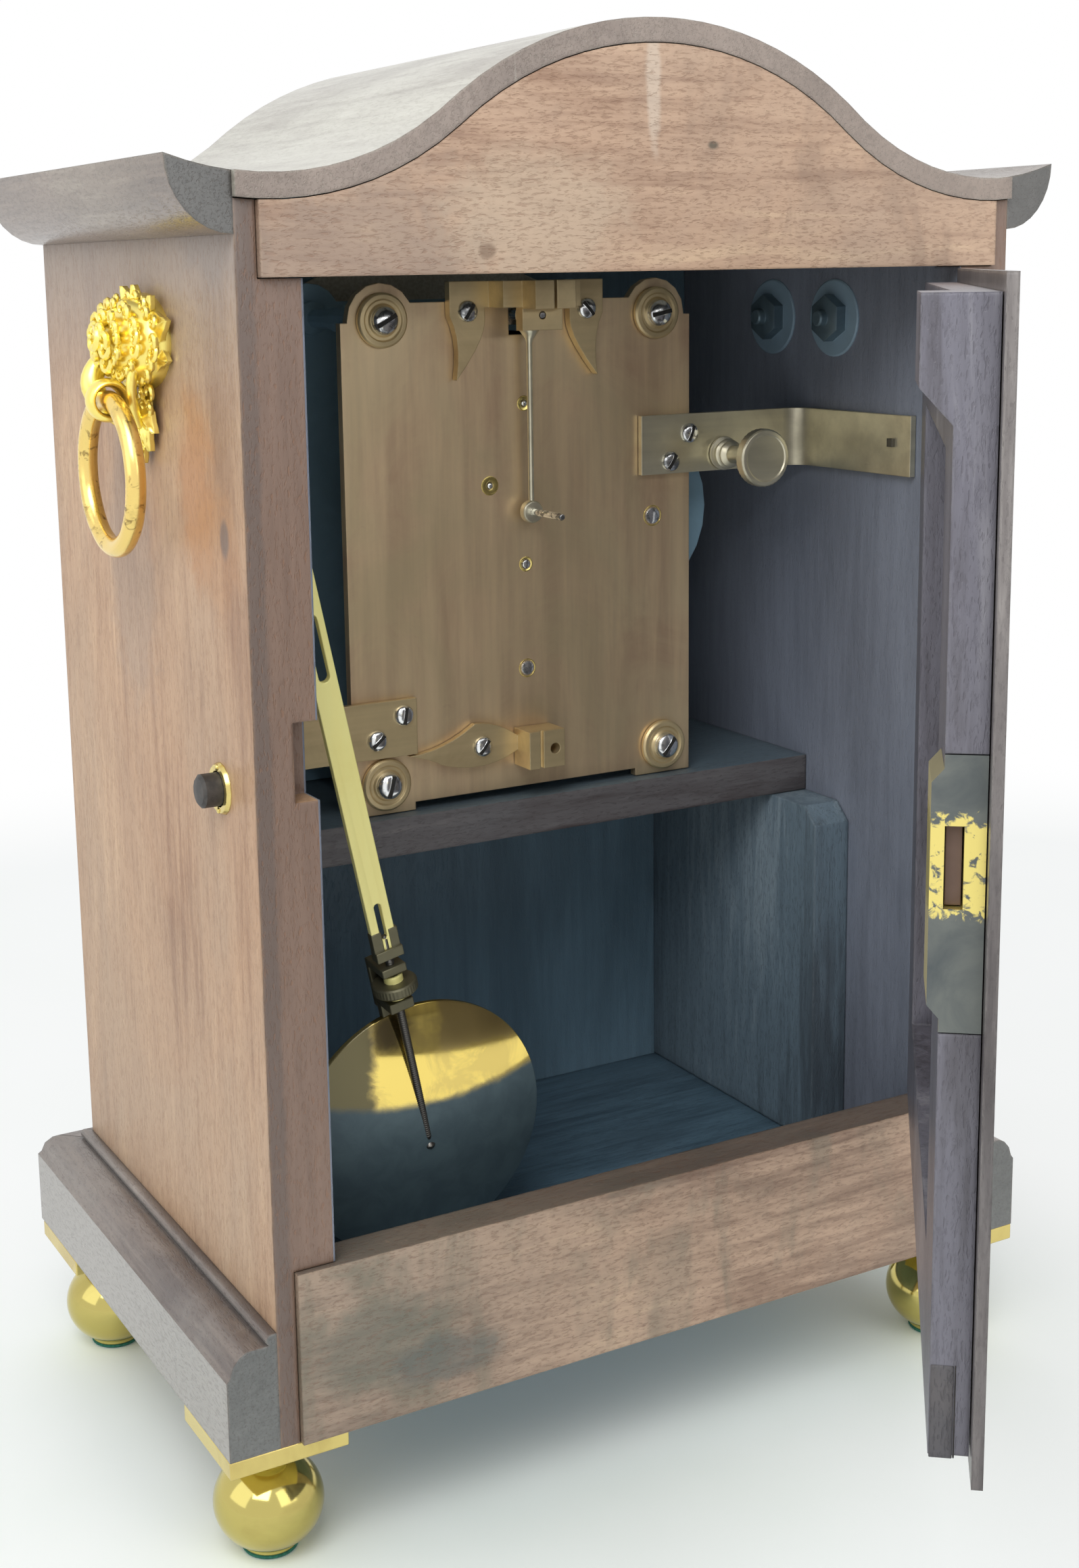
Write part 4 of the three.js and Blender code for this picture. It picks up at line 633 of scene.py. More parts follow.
@dataclass(frozen=True)
class Metal:
    """A metal surface: its colour, its tarnish and the way that it was finished."""

    name: str
    colour: Colour
    tarnish: Colour
    tarnish_share: float = 0.35
    roughness: float = 0.28
    run: Run = Run.NONE
    brushing: float = 0.0
    metallic: float = 0.92
    spots: float = 0.2
    dulling: float = 0.16
    round_edges: float = 0.0004
    cloud: float = 30.0
    speckle: float = 0.3

    def material(self) -> bpy.types.Material:
        """Build the material.

        Returns:
            The finished metal.
        """
        material, graph, shader, coords = fresh_material(self.name)
        # Patches at a fine scale get sharp edges; on steel they are painted reflections.
        softness = 0.2 if self.cloud < SHARP_REFLECTION_SCALE else 0.06
        cloud = patches(graph, coords, self.cloud, self.tarnish_share, softness)
        colour = graph.blend(graph.times(cloud, 0.8), self.colour, self.tarnish)
        specks = patches(graph, coords, 260.0, self.speckle, 0.05)
        colour = graph.blend(graph.times(specks, self.spots), colour, self.tarnish)
        lines = graph.noise(graph.stretch(coords, self.run.value), 1500.0, 3.0, 0.6)
        if self.brushing:
            streaks = graph.noise(graph.stretch(coords, self.run.value), 160.0, 3.0, 0.6)
            tone = graph.spread(streaks, 0.3, 0.7, 0.0, self.brushing)
            colour = graph.blend(tone, colour, tuple(min(1.0, c * 1.35) for c in self.colour))
        graph.feed(shader.inputs["Base Color"], colour)
        shader.inputs["Metallic"].default_value = self.metallic
        spread = graph.times(cloud, self.dulling)
        graph.feed(shader.inputs["Roughness"], graph.math("ADD", self.roughness, spread))
        rubbed = use_group(graph, rubbed_group(), Vector=coords, Radius=self.round_edges)
        height = graph.times(lines, 1.0 if self.brushing else 0.25)
        relief(graph, shader, height, BRUSHED_RELIEF, rubbed.outputs["Normal"])
        return material


@dataclass(frozen=True)
class Plain:
    """A dull surface with a slight mottle, such as felt, ebony or silvering."""

    name: str
    colour: Colour
    second: Colour
    roughness: float = 0.6
    scale: float = 300.0
    metallic: float = 0.0
    depth: float = PITTED_RELIEF

    def material(self) -> bpy.types.Material:
        """Build the material.

        Returns:
            The finished surface.
        """
        material, graph, shader, coords = fresh_material(self.name)
        value = graph.noise(coords, self.scale, 4.0)
        graph.feed(shader.inputs["Base Color"],
                   graph.blend(graph.spread(value, 0.35, 0.65), self.colour, self.second))
        graph.feed(shader.inputs["Roughness"], graph.math("ADD", self.roughness, graph.times(value, 0.1)))
        shader.inputs["Metallic"].default_value = self.metallic
        relief(graph, shader, value, self.depth)
        return material


def worn_lock_material(bolt: Vector) -> bpy.types.Material:
    """Return dark old brass that is worn bright round the bolt.

    Args:
        bolt: The middle of the bolt's end.

    Returns:
        The lock's finish.
    """
    material, graph, shader, coords = fresh_material("worn_lock")
    parts = graph.split(coords)
    away = graph.math("ABSOLUTE", graph.math("SUBTRACT", parts["Z"], bolt.z))
    fade = graph.spread(away, 0.007, 0.017, 1.0, 0.0)
    ragged = graph.noise(coords, 420.0, 4.0, 0.6, 0.6)
    worn = graph.spread(graph.math("ADD", graph.times(fade, 0.5), ragged), 0.82, 0.94)
    cloud = patches(graph, coords, 70.0, 0.45, 0.2)
    old = graph.blend(cloud, srgb(112, 116, 112), srgb(84, 90, 92))
    faces = graph.split(graph.face_normal())
    inner = graph.spread(graph.times(faces["Y"], -1.0), 0.3, 0.6)
    old = graph.blend(inner, old, srgb(188, 178, 138))
    graph.feed(shader.inputs["Base Color"], graph.blend(worn, old, srgb(240, 222, 132)))
    graph.feed(shader.inputs["Metallic"], graph.spread(worn, 0.0, 1.0, 0.55, 0.85))
    graph.feed(shader.inputs["Roughness"], graph.spread(worn, 0.0, 1.0, 0.48, 0.3))
    relief(graph, shader, ragged, PITTED_RELIEF)
    return material


def bob_material(centre: Vector, yoke: Vector) -> bpy.types.Material:
    """Return polished brass, blue-black over its lower part as a painted reflection of the dark inside of
    the case, and brown in patches above.

    Args:
        centre: The middle of the bob.
        yoke: The middle of the round mark that the stirrup has left.

    Returns:
        The bob's finish.
    """
    material, graph, shader, coords = fresh_material("bob_brass")
    parts = graph.split(coords)
    ragged = graph.noise(coords, 120.0, 5.0, 0.62, 0.5)
    above = graph.math("SUBTRACT", parts["Z"], centre.z + 10 * MM)
    bowed = graph.math("SUBTRACT", parts["X"], centre.x)
    above = graph.math("SUBTRACT", above, graph.times(graph.times(bowed, bowed), 3.0))
    # Painted reflection: below a bowed line the bob is coloured blue-grey and made less metallic, for the
    # dark inside of the case that it reflects.
    reflected_dark_inside = graph.spread(graph.math("ADD", above, graph.times(ragged, 0.003)), 0.0, 0.0035, 1.0, 0.0)
    cloud = patches(graph, coords, 55.0, 0.5, 0.05)
    stirrup = use_group(graph, spot_group(), Vector=coords, Place=tuple(yoke),
                        Reach=(7.5 * MM, 30 * MM, 6.5 * MM))
    wavy = graph.math("ADD", bowed, graph.times(ragged, 0.008))
    left = graph.spread(wavy, 0.019, 0.023)
    right = graph.spread(wavy, -0.003, 0.001, 1.0, 0.0)
    high = graph.math("ADD", graph.math("SUBTRACT", parts["Z"], centre.z), graph.times(ragged, 0.006))
    corner = graph.times(right, graph.spread(high, 0.026, 0.029))
    brown = graph.math("MAXIMUM", left, graph.times(corner, 0.75))
    brown = graph.math("MAXIMUM", brown, graph.times(cloud, 0.3))
    old = graph.blend(left, srgb(150, 130, 100), srgb(64, 66, 58))
    colour = graph.blend(graph.times(brown, 0.85), srgb(250, 222, 122), old)
    colour = graph.blend(graph.times(stirrup.outputs["Mask"], 0.85), colour, srgb(104, 92, 72))
    inside_reflection = graph.blend(graph.spread(ragged, 0.3, 0.7), srgb(86, 104, 112), srgb(98, 118, 124))
    colour = graph.blend(reflected_dark_inside, colour, inside_reflection)
    graph.feed(shader.inputs["Base Color"], colour)
    graph.feed(shader.inputs["Metallic"],
               graph.spread(graph.math("MAXIMUM", reflected_dark_inside, left), 0.0, 1.0, 0.94, 0.25))
    rough = graph.math("ADD", graph.times(brown, 0.12), graph.times(reflected_dark_inside, 0.3))
    graph.feed(shader.inputs["Roughness"], graph.math("ADD", rough, 0.07))
    relief(graph, shader, ragged, POLISHED_RELIEF)
    return material


def glass_material() -> bpy.types.Material:
    """Return clear flat glass with a trace of dust."""
    material, graph, shader, coords = fresh_material("bezel_glass_clear")
    shader.inputs["Transmission Weight"].default_value = 1.0
    shader.inputs["IOR"].default_value = 1.46
    value = graph.noise(coords, 60.0, 3.0)
    graph.feed(shader.inputs["Roughness"], graph.spread(value, 0.4, 0.8, 0.0, 0.03))
    return material


def finish_table() -> dict[str, bpy.types.Material]:
    """Build every finish once.

    Returns:
        The materials by name.
    """
    # Painted light: the blue-grey of the case's inside faces stands for the glare seen there in shade, not
    # for the wood's own colour.
    wall_inside_glare = srgb(120, 126, 139)
    deep = srgb(62, 68, 76)
    wall_marks = (
        Mark(place(125, 45, 262), (0.004, 0.014, 0.026), srgb(176, 120, 72), 0.6),
        Mark(place(125, 57, 246), (0.004, 0.018, 0.018), srgb(176, 128, 84), 0.45),
        Mark(place(125, 64.6, 250), (0.004, 0.003, 0.005), srgb(104, 88, 80), 0.8),
        Mark(place(125, -10, 236), (0.004, 0.02, 0.05), srgb(150, 132, 118), 0.4),
        Mark(place(125, 66, 330), (0.004, 0.03, 0.016), srgb(140, 128, 120), 0.6),
        Mark(place(122.6, 79, 180), (0.0028, 0.0012, 1.0), srgb(98, 86, 80), 0.7),
    )
    header_marks = (
        Mark(place(3.4, 79, 366), (0.0024, 1.0, 0.02), srgb(206, 190, 172), 0.6),
        Mark(place(-13, 79, 300), (0.004, 1.0, 0.003), srgb(84, 82, 66), 0.9),
        Mark(place(96, 79, 300), (0.05, 1.0, 0.05), srgb(140, 124, 112), 0.6),
        Mark(place(40, 79, 330), (0.03, 1.0, 0.02), srgb(196, 176, 152), 0.5),
        Mark(place(-16, 79, 350), (0.0022, 1.0, 0.0014), srgb(84, 76, 60), 0.9),
        Mark(place(55, 79, 322), (0.0028, 1.0, 0.0022), srgb(120, 96, 76), 0.7),
    )
    rail_marks = (
        Mark(place(96, 79, 24), (0.024, 1.0, 0.014), srgb(96, 100, 88), 0.6),
        Mark(place(74, 79, 14), (0.018, 1.0, 0.008), srgb(84, 92, 88), 0.6),
    )
    finishes = [
        Wood("wall", srgb(134, 92, 60), srgb(180, 142, 108), srgb(206, 170, 132), haze=srgb(176, 162, 144),
             haze_share=0.42, inside=wall_inside_glare, inside_reach=0.1075, edge_face=srgb(122, 100, 88),
             top_tint=srgb(148, 136, 126), marks=wall_marks, flecks=0.2),
        Wood("header", srgb(134, 100, 78), srgb(188, 156, 130), srgb(212, 182, 150), Run.ACROSS,
             haze=srgb(170, 156, 142),
             stain=srgb(140, 116, 98), inside=deep, inside_facing=("Y", -1.0), ribbon=0.45,
             marks=header_marks,
             flecks=0.42),
        Wood("rail", srgb(116, 88, 70), srgb(184, 154, 130), srgb(208, 178, 148), Run.ACROSS,
             haze=srgb(132, 124, 112),
             stain=srgb(112, 108, 92), stain_share=0.4, stain_band=(0.0, 0.1), inside=deep,
             inside_facing=("Y", -1.0),
             upper_face=srgb(104, 96, 88), ribbon=0.5, marks=rail_marks, flecks=0.5),
        # Painted light: the roof's pale grey colours stand for the glare on its polished top, not the
        # mahogany's own colour; its edge_face is the wood.
        Wood("roof", srgb(146, 138, 126), srgb(192, 188, 174), srgb(220, 218, 204), Run.DEEP,
             haze=srgb(206, 206, 196),
             edge_face=srgb(138, 122, 112), stain_share=0.25, roughness=0.3, coat=0.4, flecks=0.15,
             recess_shade=0.6),
        Wood("moulding", srgb(70, 54, 48), srgb(118, 104, 94), srgb(162, 148, 136), Run.DEEP,
             haze=srgb(146, 142, 136),
             edge_face=srgb(104, 106, 104), side_face=srgb(152, 148, 142), roughness=0.24, coat=0.5,
             edge=0.55,
             recess_shade=0.8, flecks=0.2),
        Wood("moulding_front", srgb(64, 48, 42), srgb(106, 88, 80), srgb(150, 132, 120), Run.ACROSS,
             haze=srgb(140, 134, 128), roughness=0.24, coat=0.5, edge=0.55, recess_shade=0.8, flecks=0.2),
        Wood("cornice", srgb(76, 62, 52), srgb(120, 104, 90), srgb(156, 144, 128), Run.DEEP,
             haze=srgb(138, 130, 118),
             edge_face=srgb(92, 92, 90), roughness=0.26, coat=0.45, edge=0.5, recess_shade=0.6, flecks=0.2),
        # Painted light: the blue-grey inner faces of front, and the inside, seat_wood and cheek_wood
        # colours, stand for glare in the shade inside the case.
        Wood("front", srgb(96, 60, 42), srgb(150, 104, 76), srgb(178, 134, 102), Run.UP,
             inside=srgb(108, 134, 150),
             inside_facing=("Y", 1.0), roughness=0.3),
        Wood("inside", srgb(56, 76, 90), srgb(86, 112, 128), srgb(108, 134, 148), Run.ACROSS,
             haze=srgb(92, 110, 122),
             stain=srgb(60, 76, 84), roughness=0.5, edge=0.1, scratches=0.1, coat=0.05),
        Wood("seat_wood", srgb(70, 62, 62), srgb(100, 97, 98), srgb(126, 121, 120), Run.ACROSS,
             haze=srgb(106, 110, 114),
             upper_face=srgb(100, 122, 134), roughness=0.45, edge=0.3, coat=0.1),
        Wood("cheek_wood", srgb(76, 86, 94), srgb(112, 130, 142), srgb(148, 164, 174), Run.UP,
             haze=srgb(122, 140, 150),
             roughness=0.45, edge=0.3, coat=0.1),
        # Painted light: door_wood's blue-grey stands for the sheen on the dark brown door.
        Wood("door_wood", srgb(68, 64, 70), srgb(108, 106, 116), srgb(148, 146, 152), Run.UP,
             haze=srgb(124, 124, 132),
             roughness=0.36, edge=0.55, coat=0.3, flecks=0.15),
        Wood("door_lip", srgb(72, 66, 66), srgb(110, 104, 102), srgb(156, 150, 146), Run.UP,
             haze=srgb(126, 124, 124),
             haze_share=0.3, inside=srgb(150, 116, 92), inside_facing=("X", -1.0), roughness=0.32, edge=0.6,
             coat=0.3,
             flecks=0.15),
        Metal("plate_brass", srgb(220, 198, 160), srgb(182, 142, 122), 0.42, 0.4, Run.UP, 0.5,
              metallic=0.8),
        Metal("strap_brass", srgb(214, 208, 184), srgb(164, 156, 136), 0.4, 0.32, Run.ACROSS, 0.4,
              metallic=0.85),
        Metal("warm_brass", srgb(216, 196, 152), srgb(170, 148, 112), 0.45, 0.36, Run.ACROSS, 0.35,
              metallic=0.75),
        # Painted shade: shaded_brass is brass coloured blue-grey, barely metallic, for the shade between
        # the plates.
        Metal("shaded_brass", srgb(150, 186, 206), srgb(124, 156, 174), 0.4, 0.5, metallic=0.1),
        # Painted shade: washer is steel coloured light blue-grey for the shade and glare inside the walls.
        Metal("washer", srgb(150, 176, 194), srgb(126, 148, 164), 0.4, 0.5, metallic=0.15),
        Metal("bright_brass", srgb(224, 204, 128), srgb(170, 146, 86), 0.3, 0.2, spots=0.12),
        Metal("yoke_bronze", srgb(110, 106, 84), srgb(78, 76, 62), 0.45, 0.4, Run.UP, 0.2, metallic=0.7),
        Metal("rod_brass", srgb(255, 244, 160), srgb(240, 222, 130), 0.3, 0.4, Run.UP, 0.2, metallic=0.2),
        Metal("ball_brass", srgb(196, 182, 108), srgb(150, 132, 74), 0.3, 0.1, spots=0.1),
        Metal("gilt", srgb(255, 236, 132), srgb(226, 186, 84), 0.3, 0.28, spots=0.35),
        Metal("worn_gilt", srgb(244, 214, 130), srgb(112, 88, 54), 0.3, 0.22, spots=0.8, speckle=0.37,
              cloud=60.0),
        # Painted reflection: steel's sharp-edged bright and dark patches, at cloud 320, stand for the
        # reflections on the polished screw heads.
        Metal("steel", srgb(236, 238, 238), srgb(96, 98, 100), 0.45, 0.14, Run.NONE, 0.0, 0.95,
              cloud=320.0),
        # Painted shade: slot_shade_black colours the blocks that stand in the screw slots, for the shade in
        # them.
        Plain("slot_shade_black", srgb(30, 28, 26), srgb(44, 42, 38), 0.6, 800.0),
        Metal("dark_steel", srgb(104, 102, 98), srgb(70, 66, 62), 0.4, 0.3, Run.UP, 0.3, 0.9),
        # Painted shade: shade_tinted_steel colours the nuts blue-grey for the shade inside the walls.
        Metal("shade_tinted_steel", srgb(124, 146, 158), srgb(74, 90, 100), 0.5, 0.36, spots=0.4, metallic=0.5),
        Metal("blued_steel", srgb(28, 36, 78), srgb(20, 22, 40), 0.3, 0.2, Run.UP, 0.0, 0.9),
        Metal("hinge_brass", srgb(112, 100, 84), srgb(74, 66, 60), 0.5, 0.45, Run.UP, 0.2, metallic=0.6),
        Metal("brown_iron", srgb(112, 92, 82), srgb(84, 66, 60), 0.5, 0.5, metallic=0.4),
        Wood("end_grain", srgb(40, 40, 46), srgb(62, 64, 72), srgb(84, 84, 90), Run.UP, roughness=0.5,
             edge=0.2),
        Plain("ebony", srgb(44, 42, 40), srgb(66, 62, 58), 0.45),
        Plain("felt", srgb(34, 92, 78), srgb(50, 116, 98), 0.95, 1200.0),
        Plain("silvering", srgb(214, 210, 196), srgb(196, 190, 174), 0.42, 900.0, 0.55),
        Plain("numerals", srgb(22, 20, 20), srgb(34, 32, 30), 0.5, 800.0),
    ]
    table = {item.name: item.material() for item in finishes}
    table["glass"] = glass_material()
    return table


def woven(rows: int, columns: int, closed: bool = True) -> list[tuple[int, ...]]:
    """Weave faces between rows of points that each go round.

    Args:
        rows: Number of rows.
        columns: Points in each row.
        closed: Whether the last row joins the first.

    Returns:
        The faces, row by row.
    """
    faces = []
    for row in range(rows if closed else rows - 1):
        low, high = row * columns, (row + 1) % rows * columns
        for column in range(columns):
            after = (column + 1) % columns
            faces.append((low + column, low + after, high + after, high + column))
    return faces


def on_circle(radius: float, step: int, steps: int) -> tuple[float, float]:
    """Return one of so many places round a circle."""
    angle = 2 * math.pi * step / steps
    return radius * math.cos(angle), radius * math.sin(angle)


@dataclass
class Body:
    """A mesh being made: points and faces, with a finish number on each face."""

    points: list[Point] = field(default_factory=list)
    faces: list[tuple[int, ...]] = field(default_factory=list)
    finishes: list[int] = field(default_factory=list)
    smooth: list[bool] = field(default_factory=list)

    def take(self, points: Iterable[Sequence[float]], faces: Iterable[Sequence[int]],
             finish: int = 0, smooth: bool = True) -> None:
        """Add a form.

        Args:
            points: Its points.
            faces: Its faces, counted from its own first point.
            finish: The finish number of its faces.
            smooth: Whether it shades smooth.
        """
        start = len(self.points)
        self.points.extend(tuple(point) for point in points)
        for face in faces:
            self.faces.append(tuple(start + corner for corner in face))
            self.finishes.append(finish)
            self.smooth.append(smooth)

    def turned(self, profile: Profile, matrix: Matrix, steps: int = 48, finish: int = 0) -> None:
        """Add a turned form whose axis is the matrix's Z.

        Args:
            profile: Radius and distance pairs, in millimetres, from one end to the other.
            matrix: Where it stands.
            steps: Steps round it.
            finish: The finish number of its faces.
        """
        points: list[Vector] = []
        rings: list[list[int]] = []
        for radius, along in profile:
            count = steps if radius > 0 else 1
            rings.append(list(range(len(points), len(points) + count)))
            for step in range(count):
                points.append(matrix @ Vector((*on_circle(max(radius, 0) * MM, step, steps), along * MM)))
        faces: list[tuple[int, ...]] = []
        for low, high in zip(rings, rings[1:]):
            for step in range(steps):
                after = (step + 1) % steps
                if len(low) == 1 and len(high) == 1:
                    break
                if len(low) == 1:
                    faces.append((low[0], high[after], high[step]))
                elif len(high) == 1:
                    faces.append((low[step], low[after], high[0]))
                else:
                    faces.append((low[step], low[after], high[after], high[step]))
        self.take(points, faces, finish)

    def block(self, low: Sequence[float], high: Sequence[float], matrix: Matrix, finish: int = 0) -> None:
        """Add a box.

        Args:
            low: Lowest corner, in millimetres.
            high: Highest corner, in millimetres.
            matrix: Where it stands.
            finish: The finish number of its faces.
        """
        rows, columns, layers = zip(low, high)
        corners = [matrix @ Vector((x * MM, y * MM, z * MM)) for z in layers for y in columns for x in rows]
        faces = [(0, 2, 3, 1), (4, 5, 7, 6), (0, 1, 5, 4), (2, 6, 7, 3), (0, 4, 6, 2), (1, 3, 7, 5)]
        self.take(corners, faces, finish, False)

    def tube(self, path: Sequence[Vector], radii: Sequence[float], sides: int = 8, finish: int = 0) -> None:
        """Add a round bar that follows a path.

        Args:
            path: Its middle line, in metres.
            radii: Its radius at each point.
            sides: Sides round it.
            finish: The finish number of its faces.
        """
        points: list[Vector] = []
        across = (path[1] - path[0]).orthogonal().normalized()
        for index, spot in enumerate(path):
            ahead = (path[min(index + 1, len(path) - 1)] - path[max(index - 1, 0)]).normalized()
            across = (across - ahead * across.dot(ahead)).normalized()
            over = ahead.cross(across)
            for side in range(sides):
                wide, high = on_circle(1.0, side, sides)
                points.append(spot + (across * wide + over * high) * radii[index])
        ends = [tuple(range(sides)), tuple(range(len(points) - sides, len(points)))]
        self.take(points, ends + woven(len(path), sides, False), finish)

    def knurled(self, rows: Profile, matrix: Matrix, steps: int, rim: float, cut: float,
                closed: bool) -> None:
        """Add a turned form whose rim is knurled.

        Args:
            rows: Radius and distance pairs, in millimetres.
            matrix: Where it stands.
            steps: Points round it, of which every second is cut in.
            rim: The radius over which a row belongs to the rim.
            cut: Depth of the knurling.
            closed: Whether the last row joins the first. If not, both ends are filled.
        """
        points = []
        for radius, along in rows:
            for step in range(steps):
                reach = radius - (cut if radius > rim and step % 2 else 0.0)
                points.append(matrix @ (Vector((*on_circle(reach, step, steps), along)) * MM))
        faces = woven(len(rows), steps, closed)
        if not closed:
            faces += [tuple(range(steps)), tuple(range(len(points) - steps, len(points)))]
        self.take(points, faces)

    def loose(self, name: str, materials: Sequence[bpy.types.Material], weld: float) -> bpy.types.Object:
        """Make the object and set its finish, and nothing more.

        Args:
            name: The object's name.
            materials: Its finishes, in the order of the finish numbers.
            weld: How near two points join, in metres.

        Returns:
            The object, at the origin.
        """
        mesh = bpy.data.meshes.new(name)
        mesh.from_pydata([tuple(point) for point in self.points], [], self.faces)
        mesh.polygons.foreach_set("material_index", self.finishes)
        mesh.polygons.foreach_set("use_smooth", self.smooth)
        work = bmesh.new()
        work.from_mesh(mesh)
        bmesh.ops.remove_doubles(work, verts=work.verts, dist=weld)
        bmesh.ops.recalc_face_normals(work, faces=work.faces)
        work.to_mesh(mesh)
        work.free()
        mesh.set_sharp_from_angle(angle=SHARP_ANGLE)
        for material in materials:
            mesh.materials.append(material)
        return linked(name, mesh)

    def build(self, name: str, materials: Sequence[bpy.types.Material], body: str, bevel: float = 0.0,
              replaces: Sequence[str] = ()) -> bpy.types.Object:
        """Make the object, set its finish and say what it rides on.

        Args:
            name: The piece's name.
            materials: Its finishes, in the order of the finish numbers.
            body: The body that it rides on.
            bevel: Width of its rounded edges, in metres, or zero.
            replaces: The frame's nodes that it stands for.

        Returns:
            The piece.
        """
        piece = self.loose(name, materials, WELD_REACH)
        if bevel:
            rounded = piece.modifiers.new("rounded", "BEVEL")
            rounded.width = bevel
            rounded.segments = 2
            rounded.limit_method = "ANGLE"
        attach(piece, body)
        if replaces:
            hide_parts(*replaces)
        LOG.info("%s rides on %s", name, body)
        return piece


def linked(name: str, data: bpy.types.ID) -> bpy.types.Object:
    """Make an object of some data and put it in the scene."""
    made = bpy.data.objects.new(name, data)
    bpy.context.scene.collection.objects.link(made)
    return made


def facing_y(where: Vector) -> Matrix:
    """Return a matrix at a place whose Z points out of the back."""
    return Matrix.Translation(where) @ Matrix.Rotation(-math.pi / 2, 4, "X")


def facing_front(where: Vector) -> Matrix:
    """Return a matrix at a place whose Z points out of the front."""
    return Matrix.Translation(where) @ Matrix.Rotation(math.pi / 2, 4, "X")


def facing_x(where: Vector, side: int = 1) -> Matrix:
    """Return a matrix at a place whose Z points to one side."""
    return Matrix.Translation(where) @ Matrix.Rotation(side * math.pi / 2, 4, "Y")


def middle(node: str) -> Vector:
    """Return the middle of a node's box."""
    return Vector([(low + high) / 2 for low, high in zip(*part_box(node))])


def smooth_shading_tree() -> bpy.types.NodeTree:
    """Return a node tree that joins loose faces and shades all but sharp edges smooth."""
    name = "soft_shading"
    known = bpy.data.node_groups.get(name)
    if known:
        return known
    tree = bpy.data.node_groups.new(name, "GeometryNodeTree")
    tree.interface.new_socket(name="Geometry", in_out="INPUT", socket_type="NodeSocketGeometry")
    limit = tree.interface.new_socket(name="Sharp angle", in_out="INPUT", socket_type=FLOAT)
    limit.default_value = SOFT_ANGLE
    tree.interface.new_socket(name="Geometry", in_out="OUTPUT", socket_type="NodeSocketGeometry")
    graph = Graph(tree)
    source = graph.node("NodeGroupInput")
    weld = graph.node("GeometryNodeMergeByDistance")
    weld.inputs["Distance"].default_value = WELD_REACH
    graph.feed(weld.inputs["Geometry"], source.outputs["Geometry"])
    faces = graph.node("GeometryNodeSetShadeSmooth", domain="FACE")
    graph.feed(faces.inputs["Geometry"], weld.outputs["Geometry"])
    angle = graph.node("GeometryNodeInputMeshEdgeAngle")
    sharp = graph.node("FunctionNodeCompare", data_type="FLOAT", operation="GREATER_THAN")
    graph.feed(sharp.inputs[0], angle.outputs["Unsigned Angle"])
    graph.feed(sharp.inputs[1], source.outputs["Sharp angle"])
    edges = graph.node("GeometryNodeSetShadeSmooth", domain="EDGE")
    edges.inputs["Shade Smooth"].default_value = False
    graph.feed(edges.inputs["Geometry"], faces.outputs["Geometry"])
    graph.feed(edges.inputs["Selection"], sharp.outputs["Result"])
    sink = graph.node("NodeGroupOutput")
    graph.feed(sink.inputs["Geometry"], edges.outputs["Geometry"])
    return tree


def dress(node: str, material: bpy.types.Material, soften: bool = False) -> None:
    """Give a node of the frame its finish.

    Args:
        node: The node's name.
        material: Its finish.
        soften: Whether its round faces shade smooth.
    """
    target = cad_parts[node]
    if not target.material_slots:
        target.data.materials.append(material)
    for slot in target.material_slots:
        slot.material = material
    if soften:
        modifier = target.modifiers.new("soft_shading", "NODES")
        modifier.node_group = smooth_shading_tree()


def copies_tree() -> bpy.types.NodeTree:
    """Return the node tree that sets a turned copy of a piece on every point and gives it its finish."""
    known = bpy.data.node_groups.get("copies")
    if known:
        return known
    tree = bpy.data.node_groups.new("copies", "GeometryNodeTree")
    tree.interface.new_socket(name="Geometry", in_out="INPUT", socket_type="NodeSocketGeometry")
    tree.interface.new_socket(name="Piece", in_out="INPUT", socket_type="NodeSocketObject")
    tree.interface.new_socket(name="Size", in_out="INPUT", socket_type=FLOAT).default_value = 1.0
    tree.interface.new_socket(name="Finish", in_out="INPUT", socket_type="NodeSocketMaterial")
    tree.interface.new_socket(name="Geometry", in_out="OUTPUT", socket_type="NodeSocketGeometry")
    graph = Graph(tree)
    given = graph.node("NodeGroupInput")
    info = graph.node("GeometryNodeObjectInfo")
    graph.feed(info.inputs["Object"], given.outputs["Piece"])
    named = graph.node("GeometryNodeInputNamedAttribute", data_type="FLOAT_VECTOR")
    named.inputs["Name"].default_value = "turn"
    scatter = graph.node("GeometryNodeInstanceOnPoints")
    graph.feed(scatter.inputs["Points"], given.outputs["Geometry"])
    graph.feed(scatter.inputs["Instance"], info.outputs["Geometry"])
    turn = graph.node("FunctionNodeEulerToRotation")
    graph.feed(turn.inputs[0], named.outputs["Attribute"])
    graph.feed(scatter.inputs["Rotation"], turn.outputs[0])
    graph.feed(scatter.inputs["Scale"], given.outputs["Size"])
    real = graph.node("GeometryNodeRealizeInstances")
    graph.feed(real.inputs["Geometry"], scatter.outputs["Instances"])
    number = graph.node("GeometryNodeInputMaterialIndex")
    main_faces = graph.node("FunctionNodeCompare", data_type="INT", operation="EQUAL")
    graph.feed(main_faces.inputs[2], number.outputs[0])
    finish = graph.node("GeometryNodeSetMaterial")
    graph.feed(finish.inputs["Geometry"], real.outputs["Geometry"])
    graph.feed(finish.inputs["Selection"], main_faces.outputs["Result"])
    graph.feed(finish.inputs["Material"], given.outputs["Finish"])
    sink = graph.node("NodeGroupOutput")
    graph.feed(sink.inputs["Geometry"], finish.outputs["Geometry"])
    return tree


